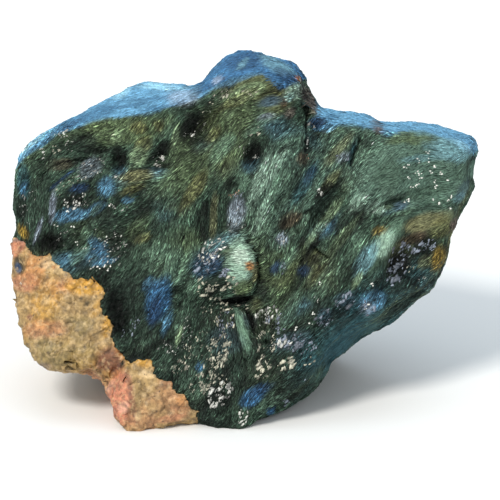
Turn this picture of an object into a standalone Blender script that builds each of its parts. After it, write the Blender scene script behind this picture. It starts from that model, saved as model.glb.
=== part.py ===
"""Rough actinolite: one lump of felted green fibres with a corner of orange feldspar grown into it.

The lump is a single stone, so it is a single solid. Metres, +Z up. It rests on a small flat spot on its
underside, the origin is on that plane below the middle of the lump, +X is to the right of the broad
fibrous face, and that face looks towards -Y and leans back.

The stone is measured square-on to its broad face: across, up the face, and into the stone.
"""

import math

import bmesh
import bpy
from mathutils import Vector, noise

# Driving dimensions, in millimetres and degrees
MM = 0.001
FACE_LEAN = 20.0           # how far the broad face leans back from upright
MIDDLE = (-1.6, 28.0)      # where the loft's two poles are: across, up
SEGMENTS_ROUND = 264       # columns of the fine loft, round the outline
RINGS = 100                # rings of the fine loft, from the front pole to the back pole
FRONT_EDGE_RING = 40
RIM_RING = 50
BACK_EDGE_RING = 66
KEPT_TRIANGLES = 0.155     # share of the fine loft's triangles that the solid keeps
GROUND_SIZE = 160.0
GROUND_DEPTH = 40.0
SHARP_ANGLE = 38.0

# The widest line round the stone, seen square-on to the face: across, up, into
RIM = (
    (30.3, 28.8, 12), (31.4, 30.5, 12), (32.3, 33.3, 13), (33.6, 35.4, 13), (34.4, 37.5, 13),
    (34.1, 39.0, 12), (34.8, 42.0, 13), (34.5, 43.7, 13), (33.0, 44.7, 13), (30.6, 45.6, 13),
    (27.6, 46.2, 13), (24.3, 46.7, 13), (21.6, 46.5, 11), (20.4, 46.1, 10), (18.9, 47.1, 10),
    (16.4, 48.0, 10), (14.1, 47.9, 9), (11.1, 48.4, 9), (9.9, 49.8, 9), (8.9, 51.6, 10),
    (8.1, 53.9, 10), (6.6, 55.4, 11), (3.9, 56.3, 12), (1.4, 56.9, 13), (-0.9, 57.2, 13),
    (-3.2, 56.6, 13), (-5.1, 54.6, 13), (-6.3, 52.5, 12), (-7.4, 51.6, 12), (-9.9, 51.9, 13),
    (-12.9, 52.4, 15), (-15.6, 52.5, 16), (-17.7, 51.9, 15), (-20.7, 50.3, 13), (-24.2, 48.3, 12),
    (-27.2, 46.8, 11), (-29.7, 45.3, 11), (-32.4, 43.5, 11), (-34.1, 41.4, 11), (-34.5, 37.8, 11),
    (-34.8, 34.1, 11), (-34.2, 30.5, 10), (-35.0, 28.8, 8), (-35.0, 25.8, 8), (-35.0, 22.1, 8),
    (-33.8, 18.0, 7), (-33.0, 13.8, 7), (-31.2, 10.8, 6), (-28.7, 9.2, 5), (-23.4, 8.9, 5),
    (-21.5, 7.8, 6), (-20.6, 6.0, 6), (-19.8, 4.8, 5), (-20.0, 2.6, 4), (-17.4, 0.3, 2),
    (-14.4, 0.3, 2), (-10.7, 1.5, 3), (-7.4, 1.8, 4), (-5.4, 0.8, 3), (-0.9, 0.0, 2),
    (1.4, 2.1, 4), (4.4, 3.0, 6), (7.8, 4.8, 9), (11.1, 7.4, 12), (12.6, 10.4, 13),
    (14.9, 12.0, 14), (17.1, 14.3, 15), (19.8, 15.5, 15), (23.1, 17.7, 15), (24.9, 19.5, 14),
    (27.6, 20.9, 14), (29.4, 23.9, 13), (30.2, 26.1, 12),
)

# Where the broad face ends: below it the sides turn away, above it lie the narrow top faces
FRONT_EDGE = (
    (29.1, 28.8), (30.9, 34.0), (32.4, 37.0), (33.0, 40.8), (34.2, 42.6), (31.4, 43.7),
    (27.6, 44.7), (22.3, 44.6), (20.8, 45.1), (17.1, 46.0), (12.6, 46.5), (9.9, 49.2),
    (8.1, 52.0), (4.3, 53.6), (2.8, 54.0), (-1.6, 53.1), (-6.9, 50.9), (-9.1, 49.8),
    (-14.4, 47.5), (-21.1, 47.1), (-27.9, 45.3), (-33.6, 41.1), (-33.9, 34.1), (-33.4, 30.6),
    (-34.4, 28.6), (-34.4, 22.1), (-32.4, 14.1), (-30.6, 11.2), (-28.4, 9.8), (-23.4, 9.5),
    (-21.4, 8.5), (-19.6, 6.0), (-19.2, 2.6), (-17.0, 0.8), (-10.7, 2.0), (-5.0, 1.4),
    (-1.2, 1.0), (0.9, 3.0), (6.9, 6.0), (9.3, 8.6), (12.0, 13.0), (15.9, 15.9),
    (18.9, 17.1), (23.4, 21.6), (26.1, 24.3), (28.5, 26.5),
)

# Where the back face ends
BACK_EDGE = (
    (27.0, 31.0), (30.5, 38.0), (29.0, 42.0), (19.0, 43.5), (10.5, 44.5), (4.0, 50.5),
    (-3.0, 51.0), (-8.5, 46.0), (-16.0, 47.0), (-25.0, 41.5), (-30.5, 35.5), (-31.0, 26.0),
    (-28.5, 16.5), (-19.0, 7.5), (-4.0, 5.0), (8.0, 6.5), (15.5, 14.5), (22.0, 22.0),
)

# Planes of the broad face: depth in the middle, slope across, slope up. The deepest one shows.
FRONT_PLANES = (
    (0.0, 0.0, 0.02),      # the face itself
    (-11.5, -0.52, 0.05),  # the left side, turning away
    (-7.0, 0.33, 0.06),    # the right side, turning away
    (-3.2, 0.38, -0.33),   # the lower right, tucking under
    (1.2, 0.0, -0.28),     # the foot
)

# Planes of the back: depth in the middle, slope across, slope up. The shallowest one shows.
BACK_PLANES = (
    (35.5, -0.05, 0.06),
    (40.0, -0.72, 0.02),
    (46.5, 0.60, 0.04),
    (52.0, 0.12, -0.52),
    (28.5, 0.25, 0.42),
)
PLANE_ROUNDING = 1.6

# Relief of the broad face: across, up, half-length, half-width, turn in degrees, height (dents are below 0)
RELIEF = (
    (-2.7, 24.9, 4.4, 4.2, 0, 2.6),      # the round knob
    (-2.7, 24.4, 7.4, 7.0, 0, -1.1),     # the hollow it sits in
    (4.0, 40.0, 11.0, 3.6, 68, 1.3),     # the ridge that runs down from the bump on top
    (19.0, 33.0, 13.0, 4.6, 68, 1.4),    # the second ridge, to its right
    (12.4, 33.8, 4.6, 1.5, 52, -1.5),    # the cleft between them
    (9.2, 47.0, 4.2, 1.2, 108, -1.2),    # the step beside the bump
    (-6.0, 45.4, 3.2, 2.2, 60, -1.5),    # pits along the upper edge
    (1.0, 41.6, 2.6, 1.8, 60, -1.2),
    (-18.9, 40.8, 2.0, 1.2, 70, -1.0),
    (-13.6, 40.2, 1.6, 1.2, 0, -1.0),
    (-24.0, 28.4, 4.0, 2.4, 20, -1.8),   # the hollow above the feldspar
    (-20.0, 35.5, 5.0, 2.6, 60, 0.8),
    (-12.0, 25.0, 7.0, 2.6, 75, 0.9),
    (32.4, 38.9, 2.2, 1.4, 80, -1.1),    # the notch in the right edge
    (21.6, 34.0, 2.4, 0.9, 10, -0.8),
    (-0.5, 15.2, 3.8, 1.0, 102, 0.9),    # the upright blade under the knob
    (-27.8, 17.0, 8.5, 7.0, 80, 1.3),    # the larger lobe of feldspar
    (-14.6, 6.0, 5.4, 4.6, 0, 1.5),      # the smaller one
    (-21.4, 8.6, 3.4, 1.5, 110, -1.7),   # the notch between the lobes
    (7.5, 15.5, 5.0, 3.0, 40, 0.9),
)

# Relief of the back face, written in the same way
BACK_RELIEF = (
    (-14.0, 30.0, 12.0, 5.0, 62, 2.0),   # two broad swells along the fibres
    (8.0, 26.0, 14.0, 4.5, 70, 2.2),
    (-3.0, 30.0, 15.0, 2.6, 66, -2.2),   # the furrow between them
    (19.0, 36.0, 6.0, 4.5, 20, -1.8),    # scooped chips
    (-23.0, 20.0, 6.0, 4.0, 40, -1.8),
    (2.0, 44.0, 7.0, 3.0, 10, 1.4),
)

# Natural roughness: size of its swells, height, and seed offset
ROUGHNESS = (
    (15.0, 1.25, 3.0),
    (6.5, 0.60, 17.0),
    (3.0, 0.28, 41.0),
)
RIM_CALM = 0.07            # how far from the rim, along the loft, the roughness grows to its full height


def clear_scene():
    for thing in list(bpy.data.objects):
        bpy.data.objects.remove(thing, do_unlink=True)


def new_collection(name):
    collection = bpy.data.collections.new(name)
    bpy.context.scene.collection.children.link(collection)
    return collection


def stone_material():
    material = bpy.data.materials.new("actinolite")
    material.use_nodes = True
    shader = material.node_tree.nodes["Principled BSDF"]
    shader.inputs["Base Color"].default_value = (0.052, 0.098, 0.068, 1.0)
    shader.inputs["Roughness"].default_value = 0.5
    shader.inputs["Metallic"].default_value = 0.0
    return material


def placed(across, up, into):
    """The world point, in metres, of a point measured square-on to the broad face."""
    lean = math.radians(FACE_LEAN)
    return Vector((
        across * MM,
        (up * math.sin(lean) + into * math.cos(lean)) * MM,
        (up * math.cos(lean) - into * math.sin(lean)) * MM,
    ))


def along(outline, share):
    """The point at this share of a closed outline's length."""
    ends = list(zip(outline, outline[1:] + outline[:1]))
    lengths = [math.hypot(b[0] - a[0], b[1] - a[1]) for a, b in ends]
    left = share * sum(lengths)
    for (a, b), length in zip(ends, lengths):
        if left <= length:
            part = left / length
            return tuple(p + (q - p) * part for p, q in zip(a, b))
        left -= length
    return outline[0]


def reach(outline, direction):
    """How far a closed outline lies from MIDDLE along a unit direction."""
    for a, b in zip(outline, outline[1:] + outline[:1]):
        start = (a[0] - MIDDLE[0], a[1] - MIDDLE[1])
        side = (b[0] - a[0], b[1] - a[1])
        across = direction[0] * side[1] - direction[1] * side[0]
        if abs(across) < 1e-9:
            continue
        distance = (start[0] * side[1] - start[1] * side[0]) / across
        part = (start[0] * direction[1] - start[1] * direction[0]) / across
        if distance > 0 and -1e-9 <= part <= 1 + 1e-9:
            return distance
    raise ValueError("the outline isn't closed round MIDDLE")


def blended(depths, sign):
    """The largest depth (sign 1) or the smallest (sign -1), rounded where two planes meet."""
    total = sum(math.exp(sign * depth / PLANE_ROUNDING) for depth in depths)
    return sign * PLANE_ROUNDING * math.log(total)


def relief(shapes, across, up):
    height = 0.0
    for centre_across, centre_up, half_length, half_width, turn, rise in shapes:
        cosine = math.cos(math.radians(turn))
        sine = math.sin(math.radians(turn))
        x = ((across - centre_across) * cosine + (up - centre_up) * sine) / half_length
        y = ((up - centre_up) * cosine - (across - centre_across) * sine) / half_width
        height += rise * math.exp(-(x * x + y * y) ** 1.5)
    return height


def front_depth(across, up):
    planes = [depth + a * across + b * up for depth, a, b in FRONT_PLANES]
    return blended(planes, 1) - relief(RELIEF, across, up)


def back_depth(across, up):
    planes = [depth + a * across + b * up for depth, a, b in BACK_PLANES]
    return blended(planes, -1) + relief(BACK_RELIEF, across, up)


def column(share):
    """One column of the loft: functions of the outline that its rings share."""
    rim = along(RIM, share)
    length = math.hypot(rim[0] - MIDDLE[0], rim[1] - MIDDLE[1])
    direction = ((rim[0] - MIDDLE[0]) / length, (rim[1] - MIDDLE[1]) / length)
    front = min(reach(FRONT_EDGE, direction), length - 0.4)
    back = min(reach(BACK_EDGE, direction), length - 1.0)
    return rim, length, direction, front, back


def loft_point(ring, rim, length, direction, front, back):
    """A ring's point on a column, measured across, up and into."""
    def at(distance):
        return MIDDLE[0] + direction[0] * distance, MIDDLE[1] + direction[1] * distance

    if ring <= FRONT_EDGE_RING:
        across, up = at(front * ring / FRONT_EDGE_RING)
        return across, up, front_depth(across, up)
    if ring <= RIM_RING:
        part = (ring - FRONT_EDGE_RING) / (RIM_RING - FRONT_EDGE_RING)
        across, up = at(front + (length - front) * part)
        start = front_depth(*at(front))
        return across, up, start + (rim[2] - start) * part
    if ring <= BACK_EDGE_RING:
        part = (ring - RIM_RING) / (BACK_EDGE_RING - RIM_RING)
        across, up = at(length + (back - length) * part)
        end = back_depth(*at(back))
        return across, up, rim[2] + (end - rim[2]) * part
    across, up = at(back * (RINGS - ring) / (RINGS - BACK_EDGE_RING))
    return across, up, back_depth(across, up)


def roughness(point):
    """Height of the natural roughness at a point in millimetres."""
    height = 0.0
    for size, rise, offset in ROUGHNESS:
        height += rise * noise.noise(point / size + Vector((offset, offset, offset)))
    return height


def lump_mesh():
    """A sphere whose columns and rings are moved onto the loft, then roughened."""
    bm = bmesh.new()
    bmesh.ops.create_uvsphere(bm, u_segments=SEGMENTS_ROUND, v_segments=RINGS, radius=1.0)
    columns = {}
    rings = {}
    for vertex in bm.verts:
        turn = math.atan2(vertex.co.y, vertex.co.x) % (2 * math.pi)
        step = round(turn / (2 * math.pi) * SEGMENTS_ROUND) % SEGMENTS_ROUND
        ring = round(math.acos(max(-1.0, min(1.0, vertex.co.z))) / math.pi * RINGS)
        if step not in columns:
            columns[step] = column(step / SEGMENTS_ROUND)
        rings[vertex.index] = ring
        vertex.co = placed(*loft_point(ring, *columns[step]))
    bmesh.ops.recalc_face_normals(bm, faces=bm.faces)
    bm.normal_update()
    into = placed(0, 0, 1)
    into.normalize()
    moves = {}
    for vertex in bm.verts:
        away = min(1.0, abs(rings[vertex.index] - RIM_RING) / RINGS / RIM_CALM)
        way = vertex.normal * away + into * (1 - away)
        moves[vertex.index] = way * roughness(vertex.co / MM) * MM
    for vertex in bm.verts:
        vertex.co += moves[vertex.index]
    mesh = bpy.data.meshes.new("rough_actinolite")
    bm.to_mesh(mesh)
    bm.free()
    return mesh


def ground_cutter(collection):
    """The block below the ground plane, which leaves the flat spot that the stone rests on."""
    bm = bmesh.new()
    bmesh.ops.create_cube(bm, size=1.0)
    size = Vector((GROUND_SIZE, GROUND_SIZE, GROUND_DEPTH)) * MM
    bmesh.ops.scale(bm, vec=size, verts=bm.verts)
    bmesh.ops.translate(bm, vec=(0, 0, -size.z / 2), verts=bm.verts)
    mesh = bpy.data.meshes.new("ground_cutter")
    bm.to_mesh(mesh)
    bm.free()
    cutter = bpy.data.objects.new("ground_cutter", mesh)
    collection.objects.link(cutter)
    cutter.hide_render = True
    cutter.display_type = "WIRE"
    return cutter


def add_modifiers(lump, cutter):
    thin = lump.modifiers.new("fewer_triangles", "DECIMATE")
    thin.ratio = KEPT_TRIANGLES
    cut = lump.modifiers.new("flat_spot", "BOOLEAN")
    cut.operation = "DIFFERENCE"
    cut.solver = "EXACT"
    cut.object = cutter


def centre_over_origin(lump, cutter):
    """Moves the stone and its cutter together, so that the middle of the finished stone is over the origin."""
    bpy.context.view_layer.update()
    finished = lump.evaluated_get(bpy.context.evaluated_depsgraph_get())
    corners = [Vector(corner) for corner in finished.bound_box]
    for axis in (0, 1):
        middle = (min(c[axis] for c in corners) + max(c[axis] for c in corners)) / 2
        lump.location[axis] -= middle
        cutter.location[axis] -= middle
    bpy.context.view_layer.update()


def build():
    clear_scene()
    stone = new_collection("rough_actinolite")
    cutters = new_collection("cutters")
    mesh = lump_mesh()
    mesh.shade_smooth()
    mesh.set_sharp_from_angle(angle=math.radians(SHARP_ANGLE))
    mesh.materials.append(stone_material())
    lump = bpy.data.objects.new("rough_actinolite", mesh)
    stone.objects.link(lump)
    cutter = ground_cutter(cutters)
    add_modifiers(lump, cutter)
    centre_over_origin(lump, cutter)


build()
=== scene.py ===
# %% [markdown]
# # A rough lump of actinolite
#
# Actinolite is a green mineral that often grows as a felt of fine, silky fibres. This lump is one natural
# stone. Most of it is that felt, and its lower left corner is orange feldspar that grew together with it.
#
# The solid that arrives in the frame has the stone's true size and outline, but its skin is plain facets.
# This lesson puts the real skin on it: a fine body with pits and ridges, tens of thousands of fibres that
# follow the way the mineral grew, pale flecks, tiny white grains as painted glints, and the blocky feldspar
# corner. Sky-blue reflection and the shade of pits and hollows are painted into the colour of the felt.

import itertools
import math

import bmesh
import bpy
import numpy as np
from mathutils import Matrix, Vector
from mathutils.bvhtree import BVHTree


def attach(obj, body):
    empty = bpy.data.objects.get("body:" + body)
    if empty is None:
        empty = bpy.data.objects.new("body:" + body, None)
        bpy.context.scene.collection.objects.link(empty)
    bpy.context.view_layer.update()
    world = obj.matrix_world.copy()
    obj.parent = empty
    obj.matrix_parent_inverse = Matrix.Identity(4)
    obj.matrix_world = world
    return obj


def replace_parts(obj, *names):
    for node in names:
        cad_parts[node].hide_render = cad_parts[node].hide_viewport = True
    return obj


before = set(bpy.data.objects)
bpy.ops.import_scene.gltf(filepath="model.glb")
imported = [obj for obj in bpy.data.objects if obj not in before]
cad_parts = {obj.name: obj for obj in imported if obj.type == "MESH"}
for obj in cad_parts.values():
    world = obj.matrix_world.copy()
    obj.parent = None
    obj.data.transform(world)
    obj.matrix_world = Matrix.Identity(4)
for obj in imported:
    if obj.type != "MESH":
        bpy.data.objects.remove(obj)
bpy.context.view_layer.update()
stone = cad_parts["rough_actinolite"]
MM = 0.001

# %% [markdown]
# ## Where things are in the picture
#
# The marks of a natural stone follow no rule, so each patch, pit and glint is placed by its column and row
# in a picture of 500 x 500 pixels. One helper turns any point of the stone into such a place. It looks along
# the camera's line, 20 degrees above level, and takes one pixel as 0.15 mm, so every number in the lists
# below can be read as a length on the stone.

# %% From points on the stone to places in the picture
PICTURE = 500                        # columns and rows
PIXEL = 0.15 * MM
CAMERA_RISE = math.radians(20)
MIDDLE_COLUMN = 246                  # the column above the stone's origin
TOP_ROW = 51                         # the row of its highest point
INTO = np.array((0, math.cos(CAMERA_RISE), -math.sin(CAMERA_RISE)))
UP = np.array((0, math.sin(CAMERA_RISE), math.cos(CAMERA_RISE)))
ACROSS = np.array((1.0, 0, 0))


def vertices_of(mesh):
    flat = np.empty(len(mesh.vertices) * 3, dtype=np.float32)
    mesh.vertices.foreach_get("co", flat)
    return flat.reshape(-1, 3).astype(float)


HIGHEST = (vertices_of(stone.data) @ UP).max()


def picture_places(points):
    """Column and row of each point."""
    columns = MIDDLE_COLUMN + points @ ACROSS / PIXEL
    rows = TOP_ROW + (HIGHEST - points @ UP) / PIXEL
    return np.column_stack((columns, rows))


print("the highest point looks", round(HIGHEST / MM, 2), "mm up")

# %% [markdown]
# ## Camera, light and floor
#
# A stone like this is photographed from a distance with a long lens, which keeps its outline undistorted.
# The light is soft: a broad pale sky all round, one warm key from the upper left that shapes the folds, and
# one large cool panel above, which adds a blue sheen to the upward faces. Most of their blue is painted
# reflection of the sky, held in their colour. The floor is plain and pale.

# %% Camera
SENSOR = 36.0
DISTANCE = 1.4
FACE_DEPTH = -0.010                  # where the visible face is, seen along the camera's line
camera = bpy.data.objects.new("camera", bpy.data.cameras.new("camera"))
bpy.context.scene.collection.objects.link(camera)
camera.data.sensor_width = SENSOR
camera.data.lens = SENSOR * DISTANCE / (PICTURE * PIXEL)
centre_across = (PICTURE / 2 - MIDDLE_COLUMN) * PIXEL
centre_up = HIGHEST - (PICTURE / 2 - TOP_ROW) * PIXEL
centre = ACROSS * centre_across + UP * centre_up + INTO * FACE_DEPTH
camera.location = Vector(centre - INTO * DISTANCE)
camera.rotation_euler = (math.pi / 2 - CAMERA_RISE, 0, 0)
camera.data.clip_start = 0.05
camera.data.clip_end = 50
bpy.context.scene.camera = camera
bpy.context.scene.view_settings.view_transform = "Standard"
print("lens", round(camera.data.lens), "mm at", DISTANCE, "m")


# %% Light and floor
def lamp(name, kind, strength, colour, place, aim=(0, 0, 0.02), **settings):
    """A lamp at a place, turned towards the stone."""
    data = bpy.data.lights.new(name, kind)
    data.energy = strength
    data.color = colour
    for setting, value in settings.items():
        setattr(data, setting, value)
    thing = bpy.data.objects.new(name, data)
    bpy.context.scene.collection.objects.link(thing)
    thing.location = place
    thing.rotation_euler = (Vector(aim) - Vector(place)).to_track_quat("-Z", "Y").to_euler()
    return thing


SKY = (0.93, 0.97, 1.0)
world = bpy.data.worlds.new("sky")
bpy.context.scene.world = world
world.use_nodes = True
world.node_tree.nodes["Background"].inputs["Color"].default_value = (*SKY, 1)
world.node_tree.nodes["Background"].inputs["Strength"].default_value = 0.72
lamp("key", "SUN", 2.5, (1.0, 0.97, 0.9), (-0.5, -0.8, 1.0), angle=math.radians(16))
lamp("cool_panel", "AREA", 1.6, (0.62, 0.84, 1.0), (0.05, 0.28, 0.75), size=0.7)

bpy.ops.mesh.primitive_plane_add(size=12)
floor = bpy.context.object
floor.name = "floor"
paper = bpy.data.materials.new("pale_paper")
paper.use_nodes = True
paper.node_tree.nodes["Principled BSDF"].inputs["Base Color"].default_value = (0.86, 0.86, 0.86, 1)
paper.node_tree.nodes["Principled BSDF"].inputs["Roughness"].default_value = 0.9
floor.data.materials.append(paper)

# %% [markdown]
# ## Numbers that vary like nature
#
# Stone is never even. Two helpers do most of the work. The first gives smooth random heights at any points,
# in swells of a chosen size: random values on a lattice, blended in between. The second turns a distance
# into a soft step.

# %% Clouds and soft steps
LATTICE = 64
LATTICE_VALUES = np.random.default_rng(11).uniform(-1, 1, (LATTICE,) * 3)


def soft_step(low, high, values):
    part = np.clip((values - low) / (high - low), 0, 1)
    return part * part * (3 - 2 * part)


def clouds(points, size, seed):
    """Smooth random values from -1 to 1, in swells about this size."""
    cells = points / size + np.array((seed * 7.31, seed * 3.77, seed * 5.13))
    low = np.floor(cells).astype(int)
    part = soft_step(0, 1, cells - low)
    total = np.zeros(len(points))
    for corner in itertools.product((0, 1), repeat=3):
        weight = np.prod(np.where(corner, part, 1 - part), axis=1)
        x, y, z = ((low + corner) % LATTICE).T
        total += weight * LATTICE_VALUES[x, y, z]
    return total


def rough(points, size, seed, octaves=3):
    """Clouds with finer clouds on them, each half the size and half as high."""
    return sum(clouds(points, size / 2**i, seed + i) / 2**i for i in range(octaves))


# %% [markdown]
# ## The stone's own skin
#
# The solid has facets about 2 mm wide, and the felt has detail far below 1 mm. The solid can't be changed,
# so its mesh is copied, remeshed into an even skin of 0.25 mm cells, and smoothed until no facet shows.

# %% Copy the solid as an even fine skin
CELL = 0.26 * MM
FACET_SMOOTHING = 45


def applied(name, mesh, modifiers):
    """The mesh after these modifiers: a list of (type, settings)."""
    holder = bpy.data.objects.new(name, mesh)
    bpy.context.scene.collection.objects.link(holder)
    for kind, settings in modifiers:
        modifier = holder.modifiers.new(kind.lower(), kind)
        for setting, value in settings.items():
            setattr(modifier, setting, value)
    bpy.context.view_layer.update()
    made = bpy.data.meshes.new_from_object(holder.evaluated_get(bpy.context.evaluated_depsgraph_get()))
    bpy.data.objects.remove(holder)
    made.name = name
    return made


def welded_copy(mesh):
    bm = bmesh.new()
    bm.from_mesh(mesh)
    bmesh.ops.remove_doubles(bm, verts=bm.verts, dist=1e-6)
    copy = bpy.data.meshes.new("welded")
    bm.to_mesh(copy)
    bm.free()
    return copy


skin = applied("skin", welded_copy(stone.data), [
    ("REMESH", {"mode": "VOXEL", "voxel_size": CELL}),
    ("SMOOTH", {"factor": 0.5, "iterations": FACET_SMOOTHING}),
])
print("the even skin has", len(skin.polygons), "faces")


# %% [markdown]
# ## What each spot of the skin is like
#
# Everything later asks the same questions of a point: where is it in the picture, which way does it face,
# and how much of it belongs to the face that the camera sees? One small class answers them once.

# %% Points that know their place
class Spots:
    """Points of the skin, with their normals and what follows from both."""

    def __init__(self, points, normals, top, hollow):
        self.points = points
        self.normals = normals
        self.top = top
        self.hollow = hollow
        self.places = picture_places(points)
        self.facing = -(normals @ INTO)
        self.front = soft_step(-0.05, 0.25, self.facing)
        self.depth = points @ INTO


def normals_of(mesh):
    flat = np.empty(len(mesh.vertices) * 3, dtype=np.float32)
    mesh.vertex_normals.foreach_get("vector", flat)
    return flat.reshape(-1, 3).astype(float)


def carry(mesh, name, values):
    """Stores a value at each vertex, so that the modifiers carry it along."""
    attribute = mesh.attributes.get(name) or mesh.attributes.new(name, "FLOAT", "POINT")
    attribute.data.foreach_set("value", values.astype(np.float32))


def carried(mesh, name):
    values = np.zeros(len(mesh.vertices), dtype=np.float32)
    mesh.attributes[name].data.foreach_get("value", values)
    return values.astype(float)


def spots_of(mesh):
    return Spots(vertices_of(mesh), normals_of(mesh), carried(mesh, "top"), carried(mesh, "hollow"))


# How much each spot faces up. The felt is painted sky blue there, as painted reflection of the sky.
carry(skin, "top", soft_step(0.5, 0.9, normals_of(skin)[:, 2]))
carry(skin, "hollow", np.zeros(len(skin.vertices)))


def oval(places, column, row, half_length, half_width, turn):
    """Distance from an oval's middle, 1 at its edge. turn is in degrees, rising to the right."""
    cosine = math.cos(math.radians(turn))
    sine = math.sin(math.radians(turn))
    x = places[:, 0] - column
    y = row - places[:, 1]
    return np.hypot((x * cosine + y * sine) / half_length, (y * cosine - x * sine) / half_width)


def inside(places, outline):
    """Distance in pixels to a closed outline, positive inside it."""
    ends = np.array(outline, dtype=float)
    nearest = np.full(len(places), 1e9)
    within = np.zeros(len(places), dtype=bool)
    for a, b in zip(ends, np.roll(ends, -1, axis=0)):
        side = b - a
        part = np.clip((places - a) @ side / (side @ side), 0, 1)
        nearest = np.minimum(nearest, np.hypot(*(places - a - part[:, None] * side).T))
        crosses = (a[1] > places[:, 1]) != (b[1] > places[:, 1])
        slope = side[0] / side[1] if side[1] else 0.0
        within ^= crosses & (places[:, 0] < a[0] + slope * (places[:, 1] - a[1]))
    return np.where(within, nearest, -nearest)


def beside_line(places, line):
    """Distance in pixels to a line through these points."""
    ends = np.array(line, dtype=float)
    nearest = np.full(len(places), 1e9)
    for a, b in zip(ends[:-1], ends[1:]):
        side = b - a
        part = np.clip((places - a) @ side / (side @ side), 0, 1)
        nearest = np.minimum(nearest, np.hypot(*(places - a - part[:, None] * side).T))
    return nearest


# %% [markdown]
# ## Which way the fibres run
#
# The look of felted actinolite comes from the direction of its fibres, which sweeps over the face like
# combed hair. A few guides say the direction at places seen in the picture, in degrees, rising to the
# right. Anywhere else it is an average of the guides near by. A fibre has no front or back end, so the
# average is taken of doubled angles: then 10 and 190 degrees count as the same direction.

# %% Guides of the fibres
GUIDES = (
    # column, row, degrees
    (30, 145, 45), (60, 125, 28), (100, 105, 14), (140, 92, 6), (160, 100, -2), (190, 98, 8),
    (110, 130, 20), (130, 135, 50), (150, 132, 62), (172, 132, 66), (200, 112, 40), (230, 96, 35),
    (262, 90, 28), (215, 80, 35), (245, 62, 40), (285, 75, -35), (293, 94, 35), (268, 104, 12),
    (60, 145, 20), (90, 158, 20), (40, 170, 32), (62, 184, 42), (100, 175, 50), (104, 150, 8),
    (150, 172, 5), (190, 160, 38), (222, 142, 45), (252, 130, 45), (200, 180, 50), (170, 200, 60),
    (230, 180, 55), (252, 200, 66), (216, 212, 80), (190, 232, 82), (170, 245, 70), (35, 220, 74),
    (52, 215, 70), (76, 210, 45), (100, 200, 45), (90, 230, 50), (122, 190, 28), (110, 215, 42),
    (130, 232, 32), (80, 250, 45), (110, 262, 40), (140, 250, 60), (30, 190, 82), (272, 160, 50),
    (292, 180, 56), (302, 200, 62), (280, 222, 70), (268, 240, 80), (310, 150, 60), (330, 150, 50),
    (352, 150, 52), (332, 182, 50), (352, 192, 46), (372, 170, 45), (340, 220, 52), (372, 210, 46),
    (326, 246, 56), (352, 250, 54), (382, 240, 62), (400, 212, 40), (396, 180, 28), (402, 150, 32),
    (430, 150, 14), (462, 142, 12), (420, 180, 12), (450, 180, 12), (470, 170, 70), (440, 202, 14),
    (460, 202, 35), (420, 220, 16), (450, 228, 45), (394, 252, 65), (376, 272, 66), (358, 276, 60),
    (330, 270, 58), (308, 270, 62), (298, 292, 66), (322, 302, 50), (242, 330, 107), (222, 340, 76),
    (200, 352, 68), (180, 330, 62), (160, 302, 58), (142, 302, 50), (130, 332, 60), (170, 370, 50),
    (202, 382, 62), (228, 382, 72), (214, 410, 60), (240, 412, 66), (262, 382, 50), (280, 360, 42),
    (302, 340, 46), (292, 382, 38), (332, 342, 40), (362, 322, 40), (382, 302, 44), (410, 292, 40),
    (430, 272, 52), (422, 252, 40), (236, 248, 14), (242, 262, 2), (240, 278, -14), (244, 290, 35),
    (212, 262, 48), (210, 290, 50), (40, 130, 38), (350, 116, 8), (400, 126, -4), (440, 134, -14),
)
GUIDE_REACH = 15                     # pixels
GUIDE_TABLE = np.array(GUIDES, dtype=float)
KNOT = 0.30                          # how much the direction wanders, in radians


def fibre_angles(spots, wander=KNOT):
    """The fibres' direction at each spot, in radians, measured on the visible face."""
    gap = spots.places[:, None, :] - GUIDE_TABLE[None, :, :2]
    near = np.exp(-(gap**2).sum(axis=2) / (2 * GUIDE_REACH**2)) + 1e-9 / (1 + (gap**2).sum(axis=2))
    doubled = 2 * np.radians(GUIDE_TABLE[:, 2])
    angle = 0.5 * np.arctan2(near @ np.sin(doubled), near @ np.cos(doubled))
    return angle + wander * rough(spots.points, 2.5 * MM, 60)


def fibre_directions(spots, angles):
    """Unit vectors along the fibres, lying in the skin."""
    along = np.cos(angles)[:, None] * ACROSS + np.sin(angles)[:, None] * UP
    along -= (along * spots.normals).sum(axis=1)[:, None] * spots.normals
    return along / np.maximum(np.linalg.norm(along, axis=1), 1e-9)[:, None]


print(len(GUIDES), "guides")

# %% [markdown]
# ## A grain that follows the fibres
#
# Noise that is stretched along a direction makes streaks. The streaks have to follow the fibres, but noise
# can't be turned by an angle that changes from place to place without smearing. So streaks are made in six
# fixed directions, and each spot takes a share of each. The clumps of the felt use this as heights here, and
# the finish of the body uses the same trick later, with nodes.

# %% Streaks in six directions
STREAK_TURNS = [math.radians(30 * i) for i in range(6)]


def streak_shares(angles):
    """How much of each of the six directions a spot takes. They add up to 1."""
    shares = np.stack([np.maximum(np.cos(2 * (angles - turn)), 0) ** 3 for turn in STREAK_TURNS], axis=1)
    return shares / shares.sum(axis=1)[:, None]


def streak_clouds(spots, angles, length, width, seed):
    """Clouds drawn out along the fibres, from -1 to 1."""
    shares = streak_shares(angles)
    across = np.stack((spots.points @ ACROSS, spots.points @ UP, spots.points @ INTO), axis=1)
    total = np.zeros(len(spots.points))
    for share, turn in zip(shares.T, STREAK_TURNS):
        along = across[:, 0] * math.cos(turn) + across[:, 1] * math.sin(turn)
        beside = across[:, 1] * math.cos(turn) - across[:, 0] * math.sin(turn)
        drawn_out = np.stack((along / length, beside / width, across[:, 2] / width), axis=1)
        total += share * rough(drawn_out, 1.0, seed, octaves=2)
    return total


# %% [markdown]
# How a fibre looks depends on where it grew. In most of the felt the fibres are short, stand up a little and
# differ a lot in brightness. In the calm areas, which look polished, they lie flat and even. Where pale
# flecks cover the stone there are few of them.

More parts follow.
